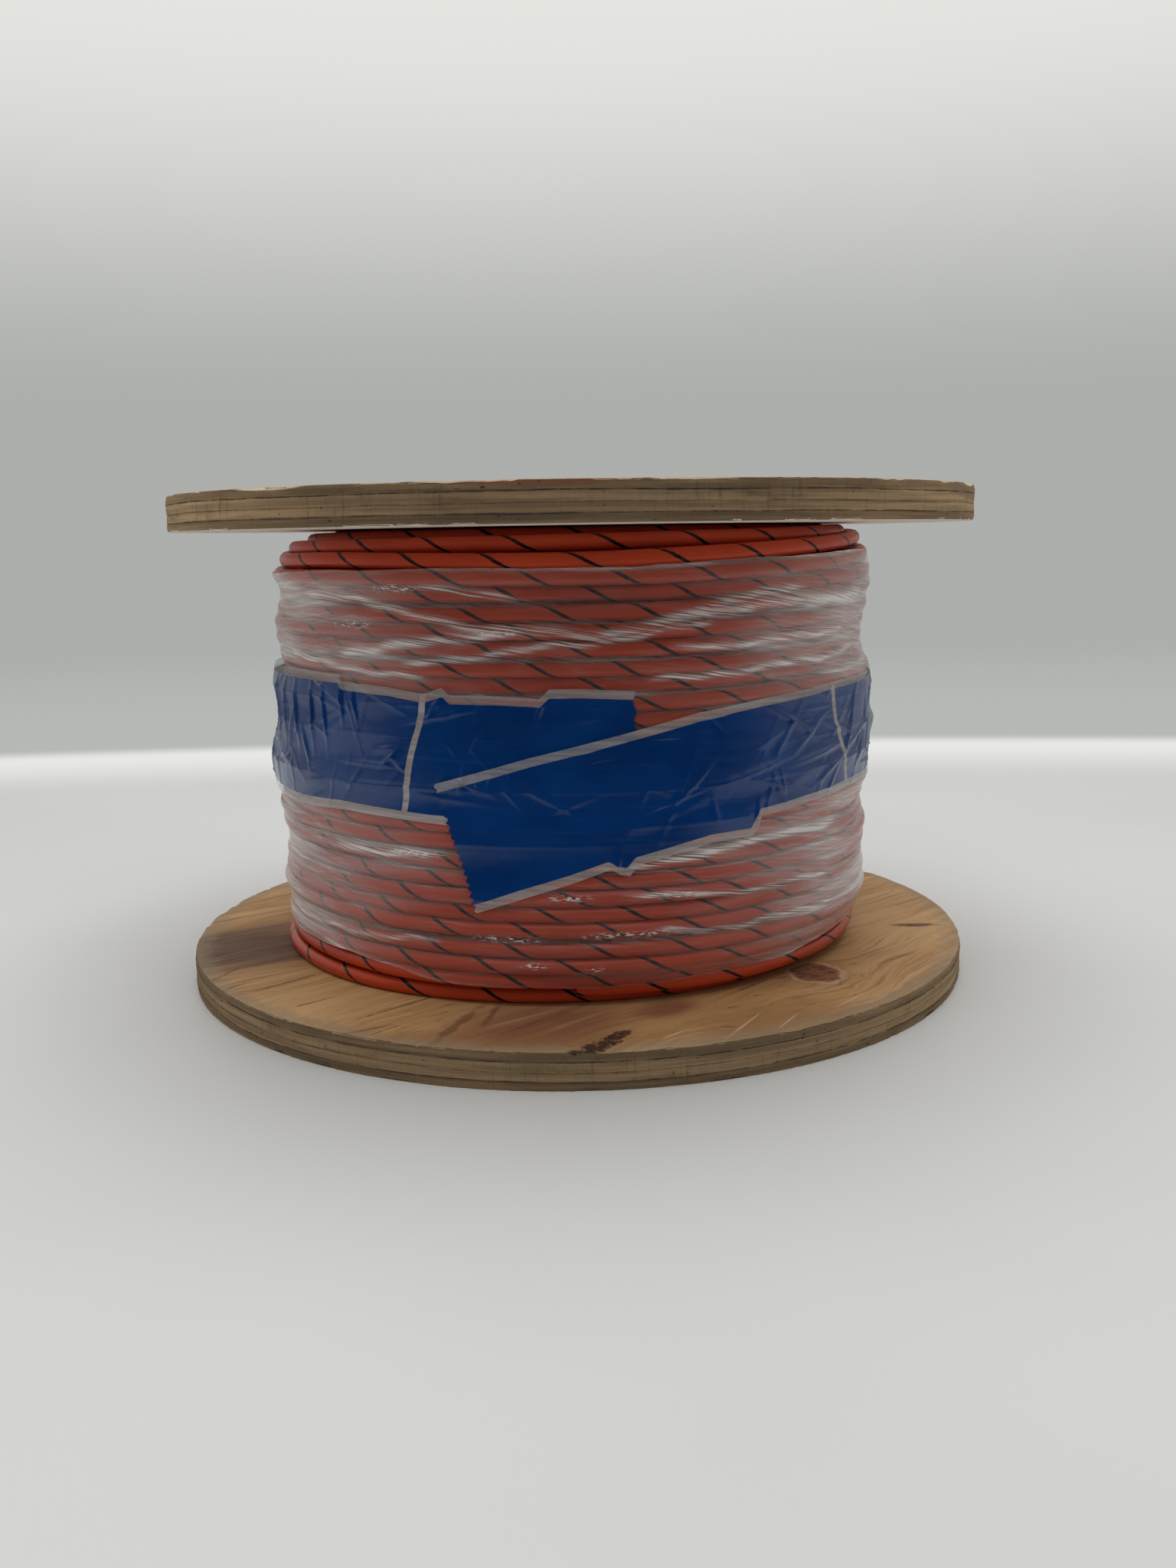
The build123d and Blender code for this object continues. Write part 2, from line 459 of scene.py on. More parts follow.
def cableTube(points, sides, parts):
    # A tube along points; U is the way along it in metres, V the way round it from its outer side
    ahead = np.gradient(points, axis=0)
    ahead /= np.linalg.norm(ahead, axis=1, keepdims=True)
    out = points * (1, 1, 0)
    out -= ahead * (out * ahead).sum(1, keepdims=True)
    out /= np.linalg.norm(out, axis=1, keepdims=True)
    up = np.cross(out, ahead)
    angle = tau * np.arange(sides) / sides
    ring = np.cos(angle)[None, :, None] * out[:, None] + np.sin(angle)[None, :, None] * up[:, None]
    verts = (points[:, None] + winding["radius"] * mm * ring).reshape(-1, 3)
    run = np.concatenate([[0], np.cumsum(np.linalg.norm(np.diff(points, axis=0), axis=1))])
    i, j = np.meshgrid(np.arange(len(points) - 1), np.arange(sides), indexing="ij")
    i, j = i.ravel(), j.ravel()
    nextJ = (j + 1) % sides
    quads = np.stack([i * sides + j, (i + 1) * sides + j, (i + 1) * sides + nextJ, i * sides + nextJ], axis=1)
    uvs = np.stack([np.stack([run[i], run[i + 1], run[i + 1], run[i]], axis=1),
                    np.stack([j, j, j + 1, j + 1], axis=1) / sides], axis=2)
    base = sum(len(v) for v, _, _ in parts)
    parts.append((verts, quads + base, uvs))


def makeCable(rows):
    parts = []
    cableTube(drumPoints(*rows), winding["sides"], parts)
    pitch = 2 * winding["radius"]
    layers = [(winding["underRadius"], winding["seat"] + pitch, winding["underTop"]), *winding["fillers"]]
    for layerRadius, low, high in layers:
        bearing = np.arange(0, 360 * (high - low) / pitch, winding["underStride"])
        height = low + bearing / 360 * pitch
        sunk = layerRadius + np.minimum(bumpSum(bearing, height, winding["lumps"]), 0)
        cableTube(drumPoints(bearing, sunk, height), winding["underSides"], parts)
    verts = np.concatenate([v for v, _, _ in parts])
    quads = np.concatenate([q for _, q, _ in parts])
    uvs = np.concatenate([u for _, _, u in parts])
    mesh = bpy.data.meshes.new("cable")
    mesh.from_pydata(verts.tolist(), [], quads.tolist())
    mesh.uv_layers.new(name="run")
    mesh.uv_layers["run"].data.foreach_set("uv", uvs.astype(np.float32).ravel())
    cable = bpy.data.objects.new("cable", mesh)
    scene.collection.objects.link(cable)
    makeActive(cable)
    setMode("EDIT")
    bpy.ops.mesh.select_all(action="DESELECT")
    bpy.ops.mesh.select_mode(type="EDGE")
    bpy.ops.mesh.select_non_manifold(extend=False)      # the open ends of the tubes
    bpy.ops.mesh.edge_face_add()
    setMode("OBJECT")
    shadeSmooth(cable, 50)
    return cable


def jacketMaterial():
    mat, tree = newMaterial("orange jacket")
    run = tree.add("UVMap", uv_map="run").outputs[0]
    parts = tree.split(run)
    coords = tree.coords()
    drift = tree.noise(coords, (9, 9, 9), 2)
    wobble = tree.times(tree.minus(drift, 0.5), 0.30)
    phase = tree.plus(tree.over(parts[0], winding["stripePitch"]), parts[1])
    phase = tree.calc("FRACT", tree.plus(tree.plus(phase, wobble), winding["stripeShift"]))
    fine = tree.noise(run, (420, 9, 1), 2)
    edge = tree.times(tree.minus(fine, 0.5), 0.035)
    off = tree.calc("ABSOLUTE", tree.minus(phase, 0.5))
    off = tree.plus(off, edge)
    half = winding["stripeShare"] / 2
    stripe = tree.map(off, half * 0.86, half * 1.14, 1.0, 0.0)

    patches = tree.noise(coords, (30, 30, 60), 3)
    orange = tree.mix(tree.map(patches, 0.3, 0.7), winding["orange"], winding["deepOrange"])
    scuffs = tree.noise(run, (55, 30, 1), 5, 0.7)
    scuff = tree.map(scuffs, 0.62, 0.80, 0.0, 0.35)
    orange = tree.mix(scuff, orange, winding["scuffed"])
    colour = tree.mix(stripe, orange, winding["black"])
    shine = tree.map(scuffs, 0.3, 0.75, 0.26, 0.42)
    grain = tree.noise(run, (900, 60, 1), 3)
    normal = tree.bumped(grain, 0.12, 0.0002)
    tree.finish({"Base Color": colour, "Roughness": shine, "Normal": normal,
                 "Specular IOR Level": 0.22, "Coat Weight": 0.08, "Coat Roughness": 0.10})
    return mat


cableRows = windRows()
cable = makeCable(cableRows)
cable.data.materials.append(jacketMaterial())
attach(cable, "root")
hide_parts("cable_winding")
print("cable wound:", len(cable.data.polygons), "faces")


# The surface that film and tape lie on: the rows' outline, bridged between crests

surface = {
    "columns": 480, "low": 14.0, "high": 168.0, "step": 0.25, "floorRadius": 109.6,
    "filmBall": (8.0, 40), "tapeBall": (40.0, 48),      # radius in millimetres, reach in steps
}


def rowsAt(bearings):
    # height and radius of every row at each bearing, as arrays of (bearing, row)
    allBearings, radius, height = cableRows
    first = np.floor((allBearings[0] - bearings) / 360).astype(int).max() + 1
    count = winding["rows"] + 3
    places = bearings[:, None] + 360 * (first + np.arange(count))[None, :]
    return np.interp(places, allBearings, height), np.interp(places, allBearings, radius)


def closedProfile(profile, ball, reach):
    # rolls a ball of that radius over the outline, so that it spans the valleys
    offsets = np.arange(-reach, reach + 1)
    cap = ball - np.sqrt(np.maximum(ball ** 2 - (offsets * surface["step"]) ** 2, 0))
    width = profile.shape[1]
    padded = np.pad(profile, ((0, 0), (reach, reach)), mode="edge")
    raised = np.max([padded[:, reach + o:reach + o + width] - c for o, c in zip(offsets, cap)], axis=0)
    padded = np.pad(raised, ((0, 0), (reach, reach)), mode="edge")
    return np.min([padded[:, reach + o:reach + o + width] + c for o, c in zip(offsets, cap)], axis=0)


def blurRound(field, reach):
    padded = np.pad(field, ((reach, reach), (0, 0)), mode="wrap")
    return sum(k * padded[i:i + len(field)] for i, k in enumerate(hump(2 * reach + 1)))


def blurUp(field, reach):
    padded = np.pad(field, ((0, 0), (reach, reach)), mode="edge")
    return sum(k * padded[:, i:i + field.shape[1]] for i, k in enumerate(hump(2 * reach + 1)))


surfaceBearings = -180 + 360 * np.arange(surface["columns"]) / surface["columns"]
surfaceHeights = np.arange(surface["low"], surface["high"], surface["step"])
rowHeights, rowRadii = rowsAt(surfaceBearings)
coilOutline = np.full((surface["columns"], len(surfaceHeights)), surface["floorRadius"])
for k in range(rowHeights.shape[1]):
    lift = winding["radius"] ** 2 - (surfaceHeights[None, :] - rowHeights[:, k:k + 1]) ** 2
    crest = rowRadii[:, k:k + 1] + np.sqrt(np.maximum(lift, 0))
    coilOutline = np.where(lift > 0, np.maximum(coilOutline, crest), coilOutline)
filmOutline = blurRound(closedProfile(coilOutline, *surface["filmBall"]), 3)
filmOutline = np.maximum(filmOutline, coilOutline)
tapeOutline = blurUp(blurRound(closedProfile(filmOutline, *surface["tapeBall"]), 8), 14)


def sampleOutline(outline, bearing, height):
    # bilinear, with the bearing wrapping round
    x = (np.asarray(bearing) + 180) / 360 * surface["columns"] % surface["columns"]
    y = np.clip((np.asarray(height) - surface["low"]) / surface["step"], 0, outline.shape[1] - 1.001)
    i, j = np.floor(x).astype(int), np.floor(y).astype(int)
    fx, fy = x - i, y - j
    i %= surface["columns"]
    nextI = (i + 1) % surface["columns"]
    lower = outline[i, j] * (1 - fx) + outline[nextI, j] * fx
    upper = outline[i, j + 1] * (1 - fx) + outline[nextI, j + 1] * fx
    return lower * (1 - fy) + upper * fy


def strokeField(x, y, strokes):
    # the sum of long soft ridges: place x, y, half length, slope, half width, height
    total = np.zeros_like(x)
    for x0, y0, length, slope, width, rise in strokes:
        dx, dy = x - x0, y - y0
        along = dx * cos(slope) + dy * sin(slope)
        across = -dx * sin(slope) + dy * cos(slope)
        near = (np.abs(along) < 3 * length) & (np.abs(across) < 4 * width)
        total[near] += rise * np.exp(-(along[near] / length) ** 2 - (across[near] / width) ** 2)
    return total


# Stretch film

film = {
    "seed": 23, "around": 410, "up": 238, "clearance": 0.14, "armRadius": 115.0,
    "topEdge": [(-180, 159), (-130, 156.5), (-71, 156.3), (-48, 157.7), (-18, 158.2), (7, 158.3), (20, 159),
                (34, 160.1), (51, 161), (60, 161.7), (90, 162.5), (135, 161), (180, 159)],
    "bottomEdge": [(-180, 23), (-120, 24.5), (-55, 24.9), (-42, 24.7), (-33, 23.2), (-20, 20.2), (0, 19.6),
                   (19, 19.7), (35, 20.4), (47, 21.8), (54, 23.1), (80, 24.2), (130, 22), (180, 23)],
    # the side haze is partly the film's own haze and partly a painted reflection of the bright sides, as they
    # look at a grazing angle
    "clearest": 0.045, "sideHazeAndReflection": 0.29, "behind": 0.20, "leastVeil": 0.035, "mostVeil": 0.93,
    "shadeTint": (0.98, 0.88, 0.85), "lightTint": (1.0, 0.95, 0.93),
    "hazes": [  # bearing, height, spread of bearing, spread of height, change of haze
        (8, 150, 20, 7, -0.16), (2, 133, 24, 5, -0.06), (46, 134, 17, 11, 0.16), (12, 38, 30, 22, -0.17),
        (-50, 46, 20, 20, 0.02), (46, 46, 16, 24, 0.12), (-34, 62, 14, 6, 0.06), (-40, 128, 22, 8, 0.10),
        (-55, 150, 16, 6, 0.10), (20, 66, 24, 5, 0.16), (110, 60, 30, 30, 0.10), (160, 140, 30, 16, -0.18),
        (-140, 50, 35, 20, -0.16)],
    "ropes": [  # half width of a pale fold that is partly a painted highlight, and the bearings and heights it runs through
        (1.5, [(-44, 130.5), (-29, 133.5), (-18, 136.5), (-8, 138.5), (4, 136.5), (15, 140), (28, 147.5),
               (44, 150)]),
        (1.0, [(-29, 126.5), (-18, 130), (-3, 133.5), (11, 136.5), (25, 140.5)]),
        (1.1, [(-55, 150), (-38, 149), (-26, 143), (-14, 139.5), (-3, 137.5)]),
        (0.8, [(-26, 153), (-14, 150.5), (-8, 147.5)]),
        (1.0, [(16, 132), (29, 132.5), (44, 134), (60, 135.5)]),
        (1.7, [(10, 137), (20, 142.5), (32, 145), (47, 146), (66, 146)]),
        (0.9, [(-62, 130), (-53, 127.5), (-35, 124.5), (-24, 123)]),
        (1.0, [(12, 122), (20, 122.5), (31, 124), (46, 125.5), (64, 127)]),
        (1.3, [(-48, 62.5), (-42, 63.5), (-34, 63), (-22, 64)]),
        (1.1, [(2, 61.5), (16, 61.5), (29, 66), (55, 66)]),
        (0.9, [(8, 51.5), (20, 50.5), (34, 49), (53, 49)]),
        (1.0, [(12, 38.5), (24, 37.5), (38, 37.5), (55, 37.5)]),
        (0.9, [(-69, 32.5), (-52, 32), (-38, 33), (-23, 34.5)]),
        (1.2, [(-53, 27), (-42, 22.5), (-33, 23)])],
    "sparks": [  # bearing, height, half length of a row of painted glints
        (-1, 51.2, 7), (9, 38.3, 16), (-12, 37, 12), (-7, 28, 4), (3, 26.6, 3), (-28, 64, 9), (18, 50.5, 7),
        (-30, 152, 8), (-12, 137.5, 6), (-40, 140, 8)],
    "wrinkles": 560, "puckerShare": 0.40, "puckerHeights": (69, 127), "ridgeRise": 0.26, "foldRise": 0.40,
    "sideSpan": (18, 72), "backSpan": (85, 125),     # degrees from the front
    "flat": (0.139, 0.725),
}


def sheared(tree, coords, lean):
    # coordinates in which a texture's streaks are tilted by the lean
    x, y, _ = tree.split(coords)
    return tree.joined(x, y, tree.vector("DOT_PRODUCT", coords, (*lean, 1.0)))


def filmMaterial():
    mat, tree = newMaterial("clear film")
    coords = tree.coords()
    haze, crease, spark = [tree.attribute(name) for name in ("haze", "crease", "spark")]
    drift = tree.noise(coords, (18, 18, 30), 3)
    bent = tree.vector("ADD", coords, tree.joined(z=tree.times(drift, 0.005)))
    broad = tree.noise(sheared(tree, bent, (0.06, 0.02)), (13, 13, 120), 3, 0.55)
    streaks = tree.noise(sheared(tree, bent, (0.0, 0.03)), (24, 24, 1500), 4, 0.65)
    slants = tree.noise(sheared(tree, bent, (0.16, 0.05)), (30, 30, 2000), 3, 0.65)
    threads = tree.noise(sheared(tree, bent, (-0.10, 0.09)), (22, 22, 2200), 2, 0.6)

    # milky where the layers lie thick and, towards the sides, partly a painted reflection; fine strands, pale
    # folds that are partly a painted highlight, and painted glints
    pattern = tree.times(tree.map(streaks, 0.37, 0.63, 0.78, 1.22), tree.map(slants, 0.38, 0.62, 0.78, 1.22))
    pattern = tree.times(pattern, tree.map(broad, 0.38, 0.62, 0.50, 1.50))
    strand = tree.times(tree.map(threads, 0.58, 0.70), tree.map(haze, 0.05, 0.5, 0.04, 0.20))
    # pale folds, partly a painted highlight: whitened up to 0.85 where the slant streaks are bright
    foldAndHighlight = tree.times(crease, tree.map(slants, 0.40, 0.60, 0.06, 0.85))
    glitter = tree.noise(coords, (480, 480, 1600), 3, 0.6)
    # painted glints: white specks where the spark attribute is set
    glint = tree.times(spark, tree.map(glitter, 0.52, 0.60))
    edge = tree.add("LayerWeight", {"Blend": 0.18}).outputs["Facing"]
    veil = tree.times(pattern, haze)
    for extra in (strand, foldAndHighlight, glint, tree.times(edge, 0.45)):
        veil = tree.plus(veil, extra)
    veil = tree.calc("MINIMUM", tree.larger(veil, film["leastVeil"]), film["mostVeil"])

    # the layers swallow some of the light that goes through them; this is partly painted shade, as more is
    # swallowed where the film is clear, which darkens the cable behind the clear front
    swallowedAndShade = tree.map(haze, 0.08, 0.40, 0.12, 0.04)
    passed = tree.times(tree.minus(1.0, veil), tree.minus(1.0, swallowedAndShade))
    solid = tree.minus(1.0, passed)
    tint = tree.mix(tree.map(broad, 0.35, 0.7), film["shadeTint"], film["lightTint"])
    tint = tree.mix(tree.over(veil, solid), (0, 0, 0), tint)
    normal = tree.bumped(tree.plus(streaks, tree.times(slants, 0.8)), 0.30, 0.0006)
    shine = tree.map(streaks, 0.35, 0.7, 0.12, 0.30)
    tree.finish({"Base Color": tint, "Roughness": shine, "Alpha": solid, "Normal": normal,
                 "Specular IOR Level": 0.9})
    return mat


def pathGap(x, y, path):
    # how far each place is from a line through the path's points
    gap = np.full_like(x, 1e6)
    for (x0, y0), (x1, y1) in zip(path, path[1:]):
        dx, dy = x1 - x0, y1 - y0
        share = np.clip(((x - x0) * dx + (y - y0) * dy) / (dx * dx + dy * dy), 0, 1)
        gap = np.minimum(gap, np.hypot(x - x0 - share * dx, y - y0 - share * dy))
    return gap


def makeFilm():
    rng = np.random.default_rng(film["seed"])
    deselectAll()
    bpy.ops.mesh.primitive_grid_add(x_subdivisions=film["around"], y_subdivisions=film["up"], size=1)
    sheet = newestObject("film")
    flat = readPoints(sheet)
    bearing = (flat[:, 0] + 0.5) * 360 - 180
    low = np.interp(bearing, *np.array(film["bottomEdge"], float).T)
    high = np.interp(bearing, *np.array(film["topEdge"], float).T)
    share = flat[:, 1] + 0.5
    angle = bearing / 360
    ragged = np.zeros_like(angle)
    for rate, phase in zip((5, 9, 14, 23, 37, 61), rng.uniform(0, tau, 6)):
        ragged += np.sin(tau * rate * angle + phase) / rate ** 0.7
    high = high + 0.55 * ragged
    low = low - 0.35 * np.sin(tau * 11 * angle) - 0.25 * np.sin(tau * 27 * angle + 1)
    height = low + (high - low) * share
    arc = np.radians(bearing) * film["armRadius"]

    count = film["wrinkles"]
    whole = tau * film["armRadius"]
    place = rng.uniform(-whole / 2, whole / 2, count)
    level = rng.uniform(18, 162, count)
    # puckers gather under and over the tape
    pucker = rng.random(count) < film["puckerShare"]
    level = np.where(pucker, rng.choice(film["puckerHeights"], count) + rng.normal(0, 8, count), level)
    slope = np.where(pucker, rng.normal(-0.30, 0.30, count), rng.normal(0.03, 0.09, count))
    strokes = np.stack([place, level, rng.uniform(5, 30, count) * np.where(pucker, 0.5, 1), slope,
                        rng.uniform(0.40, 1.1, count), rng.uniform(0.10, 0.50, count)], axis=1)
    ridge = np.zeros_like(arc)
    for roundShift in (-whole, 0, whole):
        ridge += strokeField(arc + roundShift, height, strokes)
    fold = np.zeros_like(arc)
    for half, path in film["ropes"]:
        line = [(radians(b) * film["armRadius"], z) for b, z in path]
        ends = np.array(line)[[0, -1], 0]
        fade = smoothStep(ends[0] - 2, ends[0] + 9, arc) * smoothStep(ends[1] + 2, ends[1] - 9, arc)
        gap = pathGap(arc, height + 0.5 * np.sin(arc / 7) + 0.3 * np.sin(arc / 2.9), line)
        fold = np.maximum(fold, fade * np.exp(-(gap / half) ** 2))
    # rows of painted glints along the row crests
    spark = np.zeros_like(arc)
    for where, levelAt, half in film["sparks"]:
        off = (arc - radians(where) * film["armRadius"]) / half
        spark = np.maximum(spark, np.exp(-off ** 4 - ((height - levelAt) / 0.9) ** 2))
    underTape = smoothStep(71, 77, height) * smoothStep(122, 117, height)
    outline = sampleOutline(filmOutline, bearing, height)
    wrinkled = film["ridgeRise"] * ridge + film["foldRise"] * fold
    radius = outline + film["clearance"] + wrinkled * (1 - 0.8 * underTape)
    lip = smoothStep(0.985, 1.0, share) + smoothStep(0.012, 0.0, share)
    radius += 0.25 * lip * (1 + wander(rng, angle, 6, 24))
    writePoints(sheet, drumPoints(bearing, radius, height))

    standoff = np.clip(outline - sampleOutline(coilOutline, bearing, height), 0, 3)
    turned = np.abs(bearing)
    # partly painted reflection: the film is drawn milkier towards the sides, where it is seen at a grazing
    # angle from the front
    haze = film["clearest"] + (film["sideHazeAndReflection"] - film["clearest"]) * smoothStep(*film["sideSpan"], turned)
    haze += (film["behind"] - film["sideHazeAndReflection"]) * smoothStep(*film["backSpan"], turned)
    haze += 0.10 * wander(rng, angle, 1, 4) * smoothStep(70, 110, turned)
    haze += bumpSum(bearing, height, film["hazes"]) + 0.05 * (standoff - 0.5)
    writeAttribute(sheet, "haze", np.clip(haze + 0.16 * lip, 0.035, 0.9))
    writeAttribute(sheet, "crease", np.clip(ridge * 0.28 + fold, 0, 1.4))
    writeAttribute(sheet, "spark", np.clip(spark, 0, 1))
    makeActive(sheet)
    setMode("EDIT")
    bpy.ops.mesh.select_all(action="SELECT")
    bpy.ops.mesh.remove_doubles(threshold=0.00002)
    setMode("OBJECT")
    shadeSmooth(sheet)
    return sheet


filmSheet = makeFilm()
filmSheet.data.materials.append(filmMaterial())
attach(filmSheet, "root")
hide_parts("stretch_film")
print("film wrapped:", len(filmSheet.data.polygons), "faces")


# Packing tape

# The strip runs leftwards from its start, so its bearings fall, past a full turn to the end that dips
tape = {
    "seed": 37, "lengthSteps": 1290, "widthSteps": 76, "width": 46.0, "margin": 3.0, "roll": 116.5,
    "start": 10.4, "end": -379.9, "lean": 3.3, "leanFrom": -296.0, "leanFull": -334.0,
    "lowerEdge": [
        (10.4, 76), (-5, 75.6), (-20, 74.8), (-33, 75.8), (-43, 76.2), (-58, 74.6), (-100, 74.5), (-150, 75),
        (-250, 75.2), (-290, 77.2), (-302, 77.5), (-308, 76.7), (-316, 76), (-327, 74.2), (-328.5, 67.5),
        (-336.5, 67.4), (-342.5, 65), (-349.5, 61.8), (-351, 58.2), (-352.5, 58.9), (-354, 60.8),
        (-360.5, 56.3), (-368.5, 51.3), (-376.5, 45.6)],
    "upperEdge": [
        (10.4, 118.9), (1.5, 120), (-3.5, 120), (-5, 117), (-12, 117.8), (-20, 117.9), (-21.2, 120.3),
        (-24.7, 118), (-31.5, 119.8), (-42, 120.7), (-43, 122.9), (-54.5, 123.3), (-75, 122.8), (-100, 122),
        (-200, 121), (-250, 120), (-290, 117.2), (-308, 116.7), (-327, 113.9), (-339, 111), (-349.5, 106.4),
        (-359, 101.8), (-367, 97.9), (-375, 93.2), (-383, 88.6)],
    "dividers": [(-24.7, -30.0), (-118, -121), (-212, -215), (-309, -301.5)], "dividerWidth": 2.4,
    "underGap": 0.50, "lapLift": 0.85, "lapFrom": -333.0, "lapFull": -346.0, "teeth": 2.6, "toothDepth": 1.5,
    "bulges": [  # bearing, height, spread of bearing, spread of height, lift off the film
        (-92, 86, 24, 13, 5.0), (-80, 117, 18, 8, 2.2), (87, 96, 9, 5, 2.8), (-60, 100, 9, 14, 1.2),
        (176, 92, 30, 14, 2.4), (-150, 104, 22, 12, 2.0), (130, 100, 20, 12, 1.8)],
    "folds": [  # bearing, height, half length, slope in degrees, half width, rise
        (-42.6, 115.5, 7, 86, 0.8, 1.6), (-39.5, 114, 6, 95, 0.7, 1.0), (-70, 108, 10, 80, 1.2, 1.3),
        (-64, 107, 10, 85, 1.1, 1.2), (-58, 108, 9, 95, 1.1, 1.3), (-52, 109, 10, 88, 1.0, 1.2),
        (-48, 110, 9, 92, 0.9, 1.1), (-61, 100, 8, 70, 0.9, 0.9), (-55, 97, 7, 110, 0.9, 0.8),
        (-32, 96, 4, 40, 0.8, 0.8), (-30, 94, 4, -35, 0.8, 0.7),
        (-33, 99, 4, 10, 0.8, 0.6), (-38, 86, 20, 2, 1.0, 0.5), (-5, 113.5, 6, 70, 0.9, 1.0),
        (-15, 112, 8, 80, 1.5, 0.4), (1, 110, 10, 5, 1.2, 0.4), (-75, 95, 12, 20, 2.0, 0.8),
        (-66, 91, 12, -15, 1.8, 0.7), (-52, 84, 10, 12, 1.6, 0.5), (150, 100, 16, 20, 1.6, 1.0),
        (-170, 95, 20, -12, 1.8, 1.1), (-120, 110, 9, 75, 1.4, 1.1), (-132, 90, 14, 15, 1.6, 0.9)],
    "dipFolds": [
        (-19, 89, 5, 15, 0.8, 0.9), (-16, 88, 5, -20, 0.7, 0.7), (32, 90, 12, 13, 1.0, 0.8),
        (-18, 90, 3.5, 70, 0.6, 0.9), (-15.5, 90.8, 3.5, 105, 0.6, 0.9), (-13, 91.6, 3.5, 72, 0.6, 0.8),
        (-10, 92.4, 3.5, 98, 0.6, 0.7), (-4, 84, 9, -28, 0.8, 0.6), (20, 88, 9, 42, 0.8, 0.6),
        (44, 99, 8, 35, 1.0, 0.6), (51, 86, 9, 25, 1.0, 0.7), (55, 99, 8, -20, 0.9, 0.6),
        (36, 101, 10, 22, 1.2, 0.4), (65, 90, 7, 50, 1.0, 0.8), (69, 100, 8, 80, 1.0, 0.8),
        (48, 92.5, 12, 8, 1.0, 1.0), (7, 62, 4, 85, 0.9, 1.0), (32.3, 72, 5, 85, 0.9, 1.0),
        (15, 78, 16, 18, 2.2, 0.4), (40, 84, 14, 16, 2.0, 0.4), (58, 95, 6, 60, 1.2, 1.0),
        (60, 104, 6, 75, 1.0, 0.8)],
    "fineFolds": 240, "flat": (0.046, 0.800),
    "blue": (0.0009, 0.050, 0.234), "deepBlue": (0.0007, 0.036, 0.180), "paleBlue": (0.010, 0.100, 0.36),
    "bareColour": (0.66, 0.64, 0.64),
}


def tapeMaterial():
    mat, tree = newMaterial("blue tape")
    coords = tree.coords()
    seam, across, pale = [tree.attribute(name) for name in ("seam", "across", "pale")]
    rough = tree.noise(coords, (300, 300, 300), 2)
    shaky = tree.times(tree.minus(rough, 0.5), 0.25)
    fromEdge = tree.minus(tape["width"] / 2, tree.calc("ABSOLUTE", across))
    margin = tree.map(tree.plus(fromEdge, shaky), tape["margin"] - 0.12, tape["margin"] + 0.12, 1, 0)
    half = tape["dividerWidth"] / 2
    divider = tree.map(tree.plus(seam, shaky), half - 0.14, half + 0.14, 1, 0)
    bare = tree.larger(margin, divider)
    ink = tree.noise(coords, (40, 40, 60), 3)
    lines = tree.noise(sheared(tree, coords, (0.04, 0.0)), (26, 26, 700), 4, 0.6)
    blue = tree.mix(tree.map(ink, 0.3, 0.7), tape["blue"], tape["deepBlue"])
    blue = tree.mix(tree.map(lines, 0.55, 0.80, 0.0, 0.30), blue, tape["paleBlue"])
    colour = tree.mix(bare, blue, tape["bareColour"])
    clearness = tree.larger(pale, tree.times(divider, 0.62))
    clearness = tree.times(clearness, tree.map(lines, 0.35, 0.7, 0.75, 1.25))
    solid = tree.between(bare, 0.992, clearness)
    shine = tree.map(lines, 0.3, 0.7, 0.09, 0.17)
    normal = tree.bumped(lines, 0.10, 0.0003)
    crackle = tree.noise(coords, (45, 45, 60), 3, 0.5, twist=0.5)
    normal = tree.bumped(crackle, 0.22, 0.0016, normal)
    tree.finish({"Base Color": colour, "Roughness": shine, "Alpha": solid, "Normal": normal,
                 "Specular IOR Level": 0.52})
    return mat


def edgeHeight(table, bearing):
    rows = np.array(table, float)
    return np.interp(-bearing, -rows[:, 0], rows[:, 1])


def foldField(bearing, height, folds):
    # ridges that stay in place on the drum, whichever run of the tape crosses them
    arc = np.radians((bearing + 180) % 360 - 180) * tape["roll"]
    strokes = [(radians(b) * tape["roll"], z, long, radians(slope), half, rise)
               for b, z, long, slope, half, rise in folds]
    return strokeField(arc, height, strokes)


